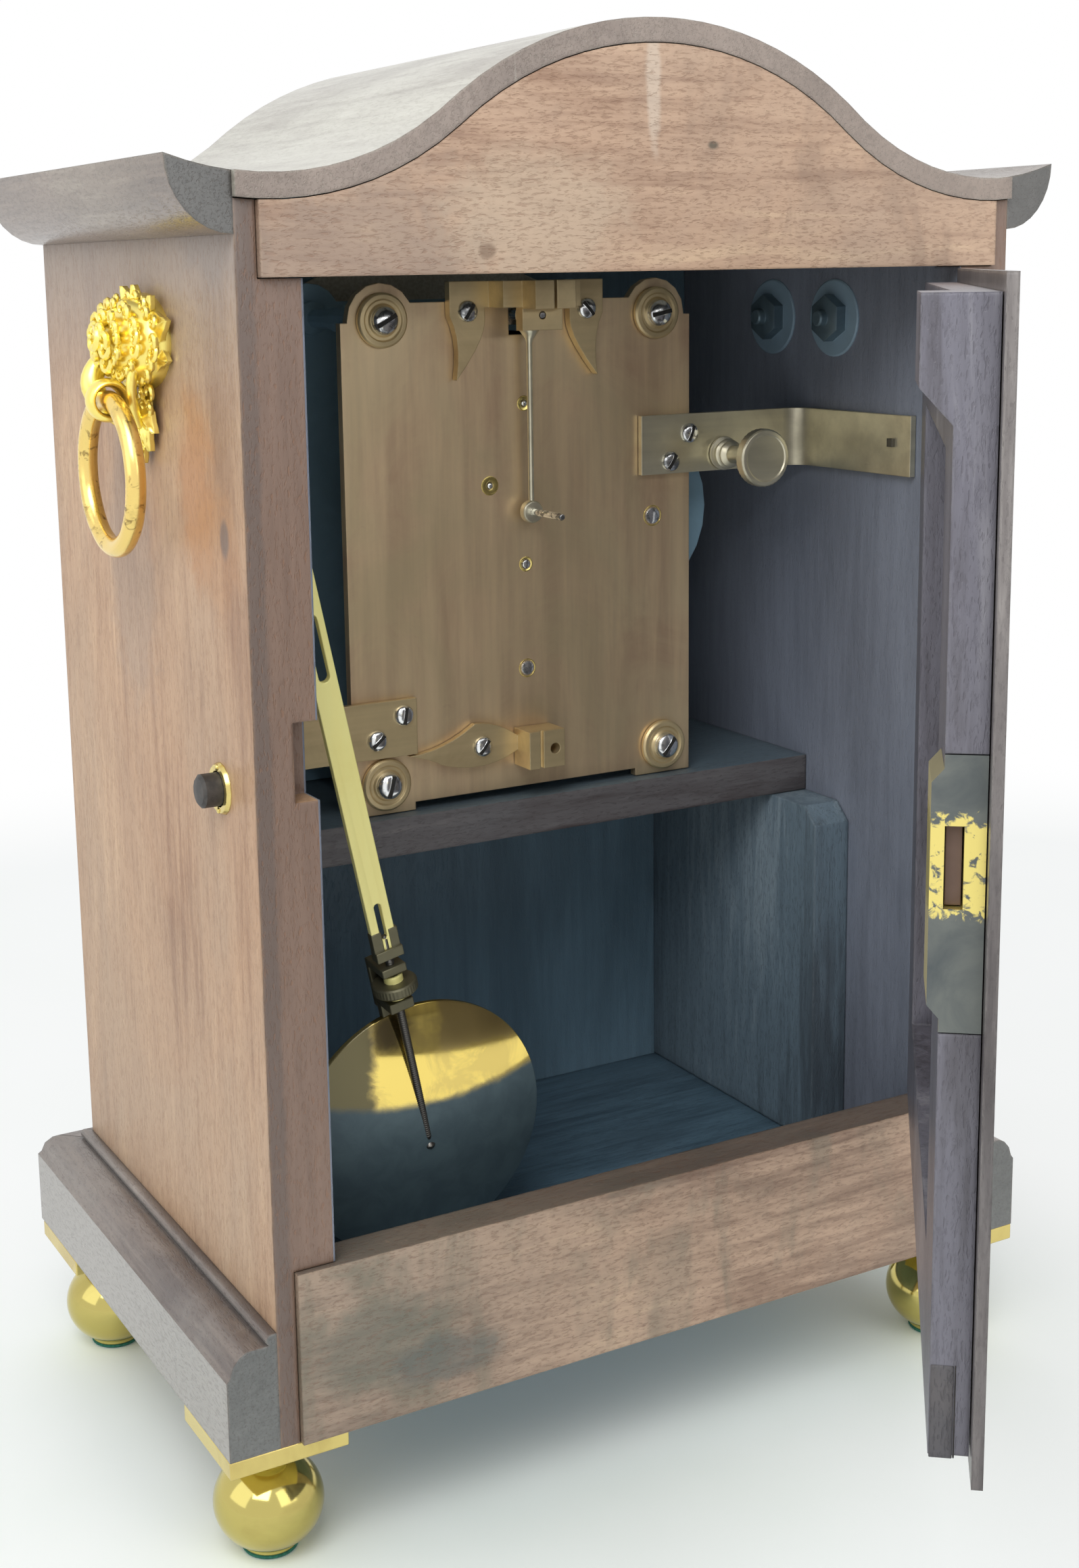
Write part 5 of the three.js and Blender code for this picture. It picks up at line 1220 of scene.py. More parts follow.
def instanced(name: str, seed: Body, places: Sequence[Matrix], body: str,
              materials: Sequence[bpy.types.Material], replaces: Sequence[str] = ()) -> bpy.types.Object:
    """Set copies of a small piece at several places with Geometry Nodes, as one plain mesh.

    Args:
        name: The new piece's name.
        seed: The small piece, drawn at the origin with Z outwards.
        places: Where the copies go.
        body: The body that they ride on.
        materials: Their finishes.
        replaces: The frame's nodes that they stand for.

    Returns:
        The piece that holds all the copies.
    """
    source = seed.loose(name + "_seed", materials, SEED_WELD_REACH)
    points = bpy.data.meshes.new(name + "_places")
    points.from_pydata([tuple(item.to_translation()) for item in places], [], [])
    turns = points.attributes.new("turn", "FLOAT_VECTOR", "POINT")
    turns.data.foreach_set("vector", [angle for item in places for angle in item.to_euler()])
    carrier = linked(name + "_carrier", points)
    modifier = carrier.modifiers.new("copies", "NODES")
    modifier.node_group = copies_tree()
    given = {"Piece": source, "Size": 1.0, "Finish": materials[0]}
    for item in modifier.node_group.interface.items_tree:
        if item.name in given:
            modifier[item.identifier] = given[item.name]
    bpy.context.view_layer.update()
    evaluated = carrier.evaluated_get(bpy.context.evaluated_depsgraph_get())
    mesh = bpy.data.meshes.new_from_object(evaluated)
    mesh.name = name
    piece = linked(name, mesh)
    bpy.data.objects.remove(carrier)
    bpy.data.objects.remove(source)
    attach(piece, body)
    if replaces:
        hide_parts(*replaces)
    LOG.info("%s: %d copies ride on %s", name, len(places), body)
    return piece


@dataclass
class Assembly:
    """A part of the clock that takes its finishes from one table."""

    finishes: dict[str, bpy.types.Material]

    def named(self, *names: str) -> list[bpy.types.Material]:
        """Return finishes by name."""
        return [self.finishes[name] for name in names]

    def dress(self, finish: str, *nodes: str, soften: bool = True) -> None:
        """Give nodes of the frame their finish.

        Args:
            finish: The finish's name.
            nodes: The nodes' names.
            soften: Whether their round faces shade smooth.
        """
        for node in nodes:
            dress(node, self.finishes[finish], soften)


@dataclass
class Case(Assembly):
    """The mahogany carcass, its mouldings, feet and side fittings."""

    pad_side: float = 35.5
    pad_thickness: float = 5.3
    foot_height: float = 40.0
    ball_radius: float = 15.85
    ball_half_height: float = 14.0

    def dress_boards(self) -> None:
        """Give each board its wood."""
        boards = {
            "wall": ("side_wall_left", "side_wall_right"),
            "header": ("back_header",),
            "rail": ("back_rail",),
            "roof": ("roof_board",),
            "cornice": ("cornice_left", "cornice_right"),
            "moulding": ("plinth_left", "plinth_right"),
            "moulding_front": ("plinth_front",),
            "front": ("front_board",),
            "inside": ("base_board",),
            "seat_wood": ("seat_board",),
            "cheek_wood": ("seat_cheek_left", "seat_cheek_right"),
        }
        for finish, nodes in boards.items():
            self.dress(finish, *nodes)

    def make_feet(self) -> None:
        """Make each foot: a square pad, a neck, a flattened ball and a felt disc."""
        height = self.foot_height
        centre = -height + 0.65 + self.ball_half_height
        angles = [math.radians(-60 + step * (126 / 24)) for step in range(25)]
        ball = [(self.ball_radius * math.cos(angle), centre + self.ball_half_height * math.sin(angle))
                for angle in angles]
        profile = [(8.0, -height + 1.2), *ball, (6.3, -9.2), (8.6, -8.2), (9.0, -7.4),
                   (9.0, -self.pad_thickness)]
        for node in ("foot_back_left", "foot_back_right", "foot_front_left", "foot_front_right"):
            where = middle(node)
            where.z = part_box(node)[1][2]
            stand = Matrix.Translation(where)
            half = self.pad_side / 2
            body = Body()
            body.turned([(0, profile[0][1]), *profile, (0, -self.pad_thickness)], stand, 64, 0)
            body.block((-half, -half, -self.pad_thickness), (half, half, 0), stand, 1)
            body.turned([(0, -height), (7.6, -height), (8.2, -height + 0.5), (7.8, -height + 1.3),
                         (0, -height + 1.3)], stand, 40, 2)
            body.build(node + "_fine", self.named("ball_brass", "bright_brass", "felt"), "case", 0.0004,
                       (node,))

    def make_rings(self) -> None:
        """Make the two carrying rings."""
        for side, node in ((1, "ring_left"), (-1, "ring_right")):
            centre = middle(node)
            tube, radius = 2.8 * MM, 20.3 * MM
            steps, around = 96, 20
            points = []
            for step in range(steps):
                worn = tube * (1 - 0.05 * noise.noise(Vector((*on_circle(1.0, step, steps), side)) * 3))
                for turn in range(around):
                    inward, sideways = on_circle(worn, turn, around)
                    points.append(centre + Vector((sideways, *on_circle(radius + inward, step, steps))))
            body = Body()
            body.take(points, woven(steps, around))
            body.build(node + "_fine", self.named("worn_gilt"), node, 0.0, (node,))

    def dress_fittings(self) -> None:
        """Finish the button and its collar, and set the collar's two nails."""
        self.dress("bright_brass", "button_collar")
        self.dress("ebony", "side_button")
        nail = Body()
        nail.turned([(0, -0.6), (0.9, -0.6), (0.9, 0.15), (0.6, 0.4), (0, 0.5)], HERE, 14)
        places = [facing_x(place(126.2, 54.9, 181.7 + rise)) for rise in (5.9, -5.9)]
        instanced("collar_nails", nail, places, "case", self.named("bright_brass"))

    def make_wall_nuts(self) -> None:
        """Set the nuts that hold the two mounts, inside the walls, each on a wide washer."""
        inside, height, flats = 107.2, 300.1, 7.5
        nut = Body()
        nut.turned([(0, -0.4), (12.5, -0.4), (12.5, 0.5), (12.0, 0.9), (0, 0.9)], HERE, 40, 0)
        nut.turned([(0, 0.8), (flats, 0.8), (flats, 4.6), (flats - 0.9, 5.2), (0, 5.2)], HERE, 6, 1)
        nut.turned([(0, 5.1), (2.6, 5.1), (2.6, 7.4), (2.1, 7.9), (0, 7.9)], HERE, 20, 1)
        places = [facing_x(place(side * inside, y, height), -side)
                  for side in (1, -1) for y in (19.5, -14.0)]
        # Painted shade: washers and nuts are coloured blue-grey for the shade inside the walls.
        instanced("wall_nuts", nut, places, "case", self.named("washer", "shade_tinted_steel"))

    def make(self) -> None:
        """Make and dress the whole case."""
        self.make_wall_nuts()
        self.dress_boards()
        self.make_feet()
        self.make_rings()
        self.dress_fittings()


@dataclass
class FoliateMount(Assembly):
    """A cast mount of curled leaves and berries, with scrolls that carry an eye for the ring."""

    node: str
    side: int
    face: float = 125.3
    middle_y: float = 12.0
    bottom: float = 264.0
    eye_z: float = 283.8
    eye_reach: float = 11.7

    def spot(self, across: float, up: float, out: float) -> Vector:
        """Return a place on the mount, from millimetres across, up and out of the wall."""
        return place(self.side * (self.face + out), self.middle_y + across, self.bottom + up)

    def leaf(self, body: Body, root: Point, angle: float, length: float, width: float, curl: float) -> None:
        """Add one pointed leaf.

        Args:
            body: The mesh to add it to.
            root: Where it grows from, across, up and out.
            angle: The way that it points, from straight up, in degrees.
            length: Its length in millimetres.
            width: Its width in millimetres.
            curl: How far its tip lifts, in millimetres.
        """
        rows, columns = 12, 7
        turn = math.radians(angle)
        along = Vector((0, math.sin(turn), math.cos(turn)))
        over = Vector((0, math.cos(turn), -math.sin(turn)))
        outwards = Vector((self.side, 0, 0))
        start = self.spot(*root)
        points: list[Vector] = []
        for layer in (1, -1):
            for row in range(rows):
                share = row / (rows - 1)
                swell = math.sin(math.pi * min(1.0, share * 0.8 + 0.2)) ** 0.8
                swell *= 1 + 0.16 * math.cos(share * math.pi * 6)
                lift = curl * share ** 2 + 1.2 * math.sin(math.pi * share)
                for column in range(columns):
                    sideways = 2 * column / (columns - 1) - 1
                    rib = 0.8 * math.exp(-(sideways * 3) ** 2)
                    rise = lift + (1 - sideways ** 2) * swell + rib if layer > 0 else lift - 1.4
                    points.append(start + (along * share * length + over * sideways * swell * width / 2
                                           + outwards * rise) * MM)
        faces: list[tuple[int, ...]] = []
        size = rows * columns
        for row in range(rows - 1):
            for column in range(columns - 1):
                top = row * columns + column
                under = size + top
                faces.append((top, top + 1, top + columns + 1, top + columns))
                faces.append((under, under + columns, under + columns + 1, under + 1))
        rim = ([(0, c) for c in range(columns)] + [(r, columns - 1) for r in range(1, rows)]
               + [(rows - 1, c) for c in range(columns - 2, -1, -1)]
               + [(r, 0) for r in range(rows - 2, 0, -1)])
        loop = [row * columns + column for row, column in rim]
        for first, second in zip(loop, loop[1:] + loop[:1]):
            faces.append((first, size + first, size + second, second))
        body.take(points, faces)

    def knob(self, body: Body, where: Point, radius: float, squash: float = 1.0, wide: float = 1.0,
             steps: int = 12) -> None:
        """Add a berry or boss.

        Args:
            body: The mesh to add it to.
            where: Its centre, across, up and out.
            radius: Its radius in millimetres.
            squash: Its depth as a share of its radius.
            wide: Its width as a share of its height.
            steps: Steps round it.
        """
        count = 8
        profile = []
        for step in range(count + 1):
            angle = -math.pi / 2 + math.pi * step / count
            profile.append((radius * math.cos(angle) if 0 < step < count else 0, radius * math.sin(angle)))
        shape = Matrix.Diagonal((1.0, wide, squash, 1.0))
        body.turned(profile, facing_x(self.spot(*where), self.side) @ shape, steps)

    def curl(self, body: Body, where: Point, turn: float, size: float, hand: int) -> None:
        """Add one tight curl of leaf, which rises in its middle.

        Args:
            body: The mesh to add it to.
            where: Its centre, across, up and out.
            turn: Where it starts, in degrees.
            size: Its radius in millimetres.
            hand: Which way it winds.
        """
        steps = 13
        path, radii = [], []
        for step in range(steps):
            share = step / (steps - 1)
            angle = math.radians(turn + hand * 400 * share)
            reach = size * (1 - 0.78 * share)
            rise = where[2] + size * (0.15 + 0.55 * share)
            across, up = where[0] + reach * math.cos(angle), where[1] + reach * math.sin(angle)
            path.append(self.spot(across, up, rise))
            radii.append(size * MM * (0.14 + 0.24 * math.sin(math.pi * min(1.0, share + 0.12))))
        body.tube(path, radii, 6)

    def crown(self, body: Body) -> None:
        """Fill the upper part with curls over a low dome, and leaf tips behind them."""
        self.knob(body, (0.0, 35.5, 0.0), 13.2, 0.86, 1.5, 32)
        tips = ((-14, 16.0, 3.0), (12, 16.2, 3.0), (-44, 17.5, 2.0), (42, 17.5, 2.0), (-74, 20.5, 1.0),
                (72, 20.5, 1.0), (-104, 18.0, 0.4), (104, 18.0, 0.4))
        for angle, length, lift in tips:
            self.leaf(body, (4.0 * math.sin(math.radians(angle)), 35.0, 1.2), angle, length, 10.5, lift)
        chance = random.Random(41)
        rings = ((0.0, 1, 3.4, 12.8), (5.2, 7, 2.8, 12.0), (10.0, 12, 2.7, 10.0), (14.8, 17, 2.6, 7.0),
                 (18.6, 20, 2.3, 3.2))
        for reach, count, size, out in rings:
            for index in range(count):
                angle = 2 * math.pi * (index + 0.4 * chance.random()) / count
                across = reach * math.cos(angle) * 1.04
                up = 36.2 + reach * math.sin(angle) * 0.62
                self.curl(body, (across, up, out + 0.8 * chance.random()),
                          math.degrees(angle) + chance.uniform(60, 200),
                          size * chance.uniform(0.85, 1.1), chance.choice((1, -1)))

    def tail(self, body: Body) -> None:
        """Hang a tapering tail of leaves and berries under the eye."""
        leaves = ((180, 18.5, 8.0), (158, 16.0, 7.5), (-158, 16.0, 7.5), (134, 14.0, 7.0),
                  (-134, 14.0, 7.0))
        for angle, length, width in leaves:
            self.leaf(body, (0.0, 20.5, 1.0), angle, length, width, 1.2)
        chance = random.Random(17)
        rows = ((22.0, 5, 2.3), (17.8, 5, 2.2), (13.6, 4, 2.1), (9.6, 3, 2.0), (5.8, 2, 1.9), (2.6, 1, 1.7))
        for up, count, size in rows:
            for index in range(count):
                across = (index - (count - 1) / 2) * 4.1
                hand = 1 if across > 0 else -1
                self.curl(body, (across, up, 2.6 - 0.1 * abs(across)), chance.uniform(0, 360), size, hand)
        for across, up, radius in ((0.0, 6.9, 1.5), (-2.4, 11.2, 1.5), (2.4, 11.2, 1.5), (0.0, 1.6, 1.3)):
            self.knob(body, (across, up, 4.2), radius)

    def scrolls(self, body: Body) -> None:
        """Bring two smooth scrolls down from the crown to the eye, and make the eye."""
        for hand, girth, reach in ((-1, 3.3, 9.6), (1, 1.5, 4.2)):
            path, radii = [], []
            for step in range(15):
                share = step / 14
                across = hand * (8.8 - 5.4 * share + 2.2 * math.sin(math.pi * share))
                up = 33.0 - 20.5 * share
                path.append(self.spot(across, up,
                                      3.4 + reach * math.sin(math.pi * min(1.0, share * 0.85 + 0.12))))
                radii.append(girth * (0.72 + 0.28 * math.sin(math.pi * share)) * MM)
            body.tube(path, radii, 14)
        centre = self.spot(0, self.eye_z - self.bottom, self.eye_reach)
        steps, around = 40, 16
        points = []
        for step in range(steps):
            inward = 0.5 - 0.5 * on_circle(1.0, step, steps)[0]
            for turn in range(around):
                wide, deep = on_circle(1.0, turn, around)
                out, up = on_circle(4.85 + (1.15 + 0.2 * inward) * wide, step, steps)
                points.append(centre + Vector((self.side * out, (3.2 + 1.2 * inward) * deep, up)) * MM)
        body.take(points, woven(steps, around))

    def make(self) -> None:
        """Make the mount and stand it for its node."""
        body = Body()
        self.crown(body)
        self.tail(body)
        self.scrolls(body)
        body.build(self.node + "_fine", self.named("gilt"), "case", 0.0, (self.node,))


@dataclass
class BackDoor(Assembly):
    """The door boards, the lock and the hinges."""

    open_angle: float = 51.2
    hinge_x: float = -107.0
    hinge_y: float = 82.2
    free_edge: float = 212.7
    frame_front: float = -12.5
    frame_bottom: float = 55.7

    def stand(self) -> Matrix:
        """Return the matrix of the hinge line, X along the door and Y towards its outer face."""
        foot = place(self.hinge_x, self.hinge_y, 0)
        return Matrix.Translation(foot) @ Matrix.Rotation(math.radians(self.open_angle), 4, "Z")

    def make_joints(self) -> None:
        """Mark the bottom rail's tenon, which shows as end grain in the edge, and the gap beside it, drawn
        as a thin dark strip of painted shade.
        """
        end, front, bottom = self.free_edge, self.frame_front, self.frame_bottom
        body = Body()
        stand = self.stand()
        body.block((end - 2, front + 0.5, bottom), (end + 0.22, front + 5.6, bottom + 22.4), stand, 0)
        # Painted shade: a thin dark strip stands for the gap beside the tenon.
        body.block((end - 2, front + 5.7, bottom), (end + 0.1, front + 6.1, bottom + 22.6), stand, 1)
        body.build("door_tenon", self.named("end_grain", "ebony"), "door", 0.0002)

    def make(self) -> None:
        """Dress the door and its fittings."""
        self.dress("door_lip", "door_panel")
        self.dress("door_wood", "door_frame")
        dress("lock_case", worn_lock_material(middle("lock_bolt")))
        self.dress("brown_iron", "lock_bolt", soften=False)
        for end in ("lower", "upper"):
            self.dress("hinge_brass", f"{end}_hinge_jamb_leaf", f"{end}_hinge_door_leaf")
        self.make_joints()


@dataclass
class Movement(Assembly):
    """The fusee movement with its plates, cocks, straps and screws."""

    def dress_plates(self) -> None:
        """Finish the plates, straps and wheels."""
        self.dress("plate_brass", "back_plate", "centre_wheel", "third_wheel", "escape_wheel",
                   "minute_wheel")
        # Painted shade: the front plate, barrel and fusee get brass coloured blue-grey for the shade
        # between the plates.
        self.dress("shaded_brass", "front_plate", "barrel", "fusee")
        self.dress("warm_brass", "suspension_cock", "pendulum_holdfast", "movement_strap_left")
        self.dress("strap_brass", "movement_strap_right")

    def make_pillar_screws(self) -> None:
        """Set the four pillar screws with their turned washers."""
        seat = 0.3
        body = Body()
        body.turned([(0, seat - 8), (1.6, seat - 8), (1.6, seat), (8.2, seat), (8.2, seat + 1.1),
                     (7.6, seat + 1.7), (6.4, seat + 1.8), (5.9, seat + 1.3), (5.0, seat + 1.3),
                     (4.4, seat + 2.0), (0, seat + 2.0)],
                    HERE, 48, 0)
        body.turned([(0, seat + 1.9), (4.1, seat + 1.9), (4.1, seat + 3.2), (3.8, seat + 3.8),
                     (3.0, seat + 4.3), (1.6, seat + 4.6), (0, seat + 4.7)], HERE, 32, 1)
        # Painted shade: a black block fills the slot instead of a cut.
        body.block((-3.4, -0.6, seat + 3.0), (3.4, 0.6, seat + 4.74), HERE, 2)
        corners = ("upper_left", "upper_right", "lower_left", "lower_right")
        nodes = [f"pillar_screw_{corner}" for corner in corners]
        places = []
        for node, turn in zip(nodes, (0.5, 0.2, 1.3, 0.9)):
            where = middle(node)
            where.y = place(0, 2, 0).y
            places.append(facing_y(where) @ Matrix.Rotation(turn, 4, "Z"))
        materials = self.named("warm_brass", "steel", "slot_shade_black")
        instanced("pillar_screws_fine", body, places, "case", materials, nodes)

    def make_small_screws(self) -> None:
        """Set the slotted screws of the straps, the cock and the holdfast."""
        body = Body()
        body.turned([(0, -1.0), (3.2, -1.0), (3.2, 0.7), (2.9, 1.2), (2.2, 1.6), (1.2, 1.8), (0, 1.85)],
                    HERE, 28, 0)
        # Painted shade: a black block fills the slot instead of a cut.
        body.block((-2.6, -0.5, 0.9), (2.6, 0.5, 1.9), HERE, 1)
        spots = ((45.3, 4.3, 183.0, 1.4), (54.6, 4.3, 176.1, 0.7), (-60.3, 4.3, 264.2, 1.2),
                 (-52.9, 4.3, 255.4, 1.0), (21.0, 5.3, 305.0, 1.0), (-21.0, 5.3, 305.0, 2.3),
                 (18.0, 4.5, 169.8, 0.9))
        places = [facing_y(place(x, y, z)) @ Matrix.Rotation(turn, 4, "Z") for x, y, z, turn in spots]
        instanced("small_screws", body, places, "case", self.named("steel", "slot_shade_black"))
        nail = Body()
        nail.block((-1.3, -1.3, -1.0), (1.3, 1.3, 1.2), HERE, 0)
        instanced("strap_nail", nail, [facing_x(place(-104.7, 52.3, 261.8))], "case",
                  self.named("dark_steel"))

    def make_pivots(self) -> None:
        """Set the pivot ends and the bushes round them on the back plate."""
        body = Body()
        arbors = ((0, 276.4, 0.9, 2.4), (12.5, 251.5, 0.9, 3.0), (0, 226, 1.3, 2.4), (0, 192.7, 2.2, 3.0),
                  (-47.5, 238, 2.6, 3.4))
        for x, z, pivot, bush in arbors:
            stand = facing_y(place(x, 2, z))
            body.turned([(pivot + 0.15, -0.4), (bush, -0.4), (bush, 0.1), (bush - 0.25, 0.22),
                         (pivot + 0.5, 0.05), (pivot + 0.15, -0.1), (pivot + 0.15, -0.4)], stand, 28, 0)
            body.turned([(0, -1.0), (pivot, -1.0), (pivot, 0.3), (pivot * 0.7, 0.5), (0, 0.55)],
                        stand, 20, 1)
        body.build("plate_pivots", self.named("bright_brass", "steel"), "case")

    def make_crutch(self) -> None:
        """Make the crutch, its arbor and the pallets."""
        body = Body()
        arbor = facing_y(place(0, 0, 303.5))
        body.turned([(0, -53.4), (0.9, -53.4), (0.9, -49.8), (1.5, -49.8), (1.5, 10.1), (0.9, 10.1),
                     (0.9, 14.4), (0, 14.4)], arbor, 20, 1)
        body.turned([(1.4, 4.2), (3.6, 4.2), (4.2, 4.8), (4.2, 7.2), (3.6, 7.8), (1.4, 7.8), (1.4, 4.2)],
                    arbor, 24, 0)
        down = Matrix.Translation(place(0, 6, 300)) @ Matrix.Rotation(math.pi, 4, "X")
        body.turned([(0, -1.5), (3.9, -1.5), (3.7, 0.4), (2.4, 2.2), (1.4, 3.6), (0.95, 5.0), (0.9, 54.2),
                     (0.9, 56.0), (0, 56.0)], down, 20, 0)
        boss = facing_y(place(0, 6, 243))
        body.turned([(0, -1.5), (3.1, -1.5), (3.5, -1.1), (3.5, 1.1), (3.1, 1.5), (0, 1.5)], boss, 28, 0)
        body.turned([(0, 0), (1.1, 0), (1.1, 18.4), (0.8, 18.95), (0, 19.0)], boss, 18, 1)
        centre, radius = (0.0, 276.4), 18.0
        outline: list[tuple[float, float]] = []
        for side in (1, -1):
            spread = math.radians(51)
            for step in range(7):
                share = step / 6 if side > 0 else 1 - step / 6
                angle = math.pi / 2 - side * spread * (0.25 + 0.75 * share)
                reach = radius + 4.4 - 0.8 * share
                outline.append((centre[0] + reach * math.cos(angle), centre[1] + reach * math.sin(angle)))
            if side > 0:
                tips = []
                for turn in (-spread - 0.03, 0.03 - spread, spread - 0.03, spread + 0.03):
                    angle = math.pi / 2 + turn
                    tips.append((radius * math.cos(angle), centre[1] + radius * math.sin(angle)))
                outline += [*tips[:2], (4.0, 298.4), (0.0, 297.6), (-4.0, 298.4), *tips[2:]]
        front = [place(x, -10.95, z) for x, z in outline]
        back = [place(x, -7.45, z) for x, z in outline]
        count = len(outline)
        faces: list[tuple[int, ...]] = [tuple(range(count)), tuple(range(2 * count - 1, count - 1, -1))]
        faces += [(i, (i + 1) % count, count + (i + 1) % count, count + i) for i in range(count)]
        body.take([*front, *back], faces, 1, False)
        body.block((-3.5, -3.6, -10.9), (3.5, 3.2, -7.5), arbor, 1)
        body.build("crutch_fine", self.named("strap_brass", "steel"), "crutch", 0.0,
                   ("crutch_and_pallets",))

    def make_thumb_screw(self) -> None:
        """Make the thumb screw with its ringed collar and knurled head."""
        stand = facing_y(place(-73.5, 0, 257))
        body = Body()
        body.turned([
            (0, -1.0), (2.0, -1.0), (2.0, 4.6), (5.4, 4.6), (5.5, 5.4), (4.2, 5.9), (3.4, 6.2), (4.6, 6.7),
            (4.9, 7.4), (4.2, 8.0), (3.3, 8.3), (4.3, 8.8), (4.4, 9.4), (3.8, 10.0), (2.9, 10.6),
            (2.7, 15.0), (3.1, 19.6),
            (4.8, 22.0), (6.6, 23.6), (8.6, 24.5), (0, 24.5),
        ], stand, 48, 0)
        head = ((8.4, 24.5), (9.25, 24.9), (9.25, 27.7), (8.7, 28.3), (7.6, 28.5), (7.2, 28.1), (6.4, 28.1))
        body.knurled(head, stand, 72, 9.0, 0.16, False)
        body.build("thumb_screw_fine", self.named("strap_brass"), "thumb_screw", 0.0, ("thumb_screw",))

    def make(self) -> None:
        """Make and dress the whole movement."""
        self.dress_plates()
        self.make_pillar_screws()
        self.make_small_screws()
        self.make_pivots()
        self.make_crutch()
        self.make_thumb_screw()


@dataclass
class Pendulum(Assembly):
    """The unhooked pendulum that leans in the case."""

    lean_side: float = 12.8
    lean_back: float = 4.6
    bob_radius: float = 40.8
    bob_half: float = 6.5

    def stand(self) -> Matrix:
        """Return the matrix of the nut's centre with Z up along the rod."""
        backwards = Matrix.Rotation(-math.radians(self.lean_back), 4, "X")
        sideways = Matrix.Rotation(math.radians(self.lean_side), 4, "Y")
        return Matrix.Translation(place(70, 44.3, 112.8)) @ (backwards @ sideways)

    def make_bob(self) -> None:
        """Make the lens-shaped bob with its stirrup."""
        stand = self.stand()
        disc = stand @ facing_y(Vector((0, -5.5, -52)) * MM)
        rows = 18
        front = [(self.bob_radius * i / rows, 0.9 + (self.bob_half - 0.9) * (1 - (i / rows) ** 2))
                 for i in range(rows + 1)]
        back = [(radius, -along) for radius, along in front]
        body = Body()
        body.turned([*back, (self.bob_radius, 0.0), *reversed(front)], disc, 96, 0)
        half = 3.9
        bars = ((-9.6, -7.6, 2.6, -4.4), (-9.6, 4.4, 2.6, 7.0), (-9.7, -9.0, -7.8, 7.0),
                (-7.7, -21.0, -4.7, -6.4))
        for front_y, low, back_y, high in bars:
            body.block((-half, front_y, low), (half, back_y, high), stand, 1)
        centre = disc.to_translation()
        worn = bob_material(centre, centre + Vector((11, 0, 34)) * MM)
        body.build("pendulum_bob_fine", [worn, *self.named("yoke_bronze")], "pendulum_bob", 0.0003,
                   ("pendulum_bob",))

    def make_nut(self) -> None:
        """Make the knurled rating nut."""
        steps = 80
        rows = ((1.95, -3.8), (2.9, -3.8), (2.9, -1.7), (6.2, -1.7), (6.8, -1.2), (6.8, 1.2), (6.2, 1.7),
                (2.9, 1.7), (2.9, 3.8), (1.95, 3.8))
        body = Body()
        body.knurled(rows, self.stand(), steps, 6.5, 0.18, True)
        collar_rows = {0, 1, 7, 8}
        body.finishes = [1 if number // steps in collar_rows else 0 for number in range(len(body.faces))]
        body.build("rating_nut_fine", self.named("yoke_bronze", "rod_brass"), "rating_nut", 0.0,
                   ("rating_nut",))

    def make_rod(self) -> None:
        """Make the slotted brass strip, its dark yoke and the suspension spring with the block over it."""
        stand = self.stand()
        half_width, half_thickness, start, end = 3.7, 1.1, 12.5, 140.0
        slots = ((97.0, 117.0, 1.7), (16.0, 27.5, 1.1))
        strip = bmesh.new()
        outer = [(-half_width, start), (half_width, start), (half_width, end - 3), (half_width - 1.2, end),
                 (1.2 - half_width, end), (-half_width, end - 3)]
        loops = [outer]
        for low, high, half in slots:
            ring = []
            for first, centre in ((0.0, high - half), (math.pi, low + half)):
                for step in range(12):
                    angle = first + math.pi * step / 11
                    ring.append((half * math.cos(angle), centre + half * math.sin(angle)))
            loops.append(ring)
        edges = []
        for ring in loops:
            corners = [strip.verts.new((x + 0.4 + 0.01 * (z - start), -half_thickness, z)) for x, z in ring]
            edges += [strip.edges.new((a, b)) for a, b in zip(corners, corners[1:] + corners[:1])]
        filled = bmesh.ops.triangle_fill(strip, use_beauty=True, edges=edges)
        front = [item for item in filled["geom"] if isinstance(item, bmesh.types.BMFace)]
        raised = bmesh.ops.extrude_face_region(strip, geom=front)
        lifted = [item for item in raised["geom"] if isinstance(item, bmesh.types.BMVert)]
        bmesh.ops.translate(strip, verts=lifted, vec=(0, 2 * half_thickness, 0))
        strip.verts.index_update()
        body = Body()
        body.take([stand @ (vertex.co * MM) for vertex in strip.verts],
                  [tuple(vertex.index for vertex in face.verts) for face in strip.faces], 0, False)
        strip.free()
        body.block((-4.3, -2.0, 9.4), (4.3, 2.0, 12.6), stand, 1)
        body.block((-4.0, -1.4, 12.5), (-1.2, 1.4, 18.6), stand, 1)
        body.block((1.2, -1.4, 12.5), (4.4, 1.4, 18.6), stand, 1)
        body.block((-2.2, -0.2, 139), (2.2, 0.2, 147.6), stand, 2)
        body.block((-2.2, -1.5, 147.5), (2.2, 1.5, 153), stand, 0)
        materials = self.named("rod_brass", "yoke_bronze", "steel")
        body.build("pendulum_rod_fine", materials, "case", 0.0002, ("pendulum_rod",))

    def make_threaded_rod(self) -> None:
        """Make the thin steel rod that carries the nut, with its fine thread and its turned tip."""
        radius, root = 1.35, 1.2
        profile = [(0.0, -57.0), (0.9, -56.8), (1.7, -55.9), (1.8, -55.3), (1.4, -54.7), (0.85, -54.2),
                   (0.85, -53.6), (root, -52.8)]
        along = -52.4
        while along < 8.0:
            profile += [(root, along), (radius, along + 0.3), (root, along + 0.6)]
            along += 0.7
        profile += [(root, 8.4), (root, 15.6), (0.9, 16.6), (0.0, 16.9)]
        body = Body()
        body.turned(profile, self.stand(), 14, 0)
        body.build("threaded_rod", self.named("dark_steel"), "case")

    def make(self) -> None:
        """Make and dress the pendulum."""
        self.make_rod()
        self.make_bob()
        self.make_nut()
        self.make_threaded_rod()


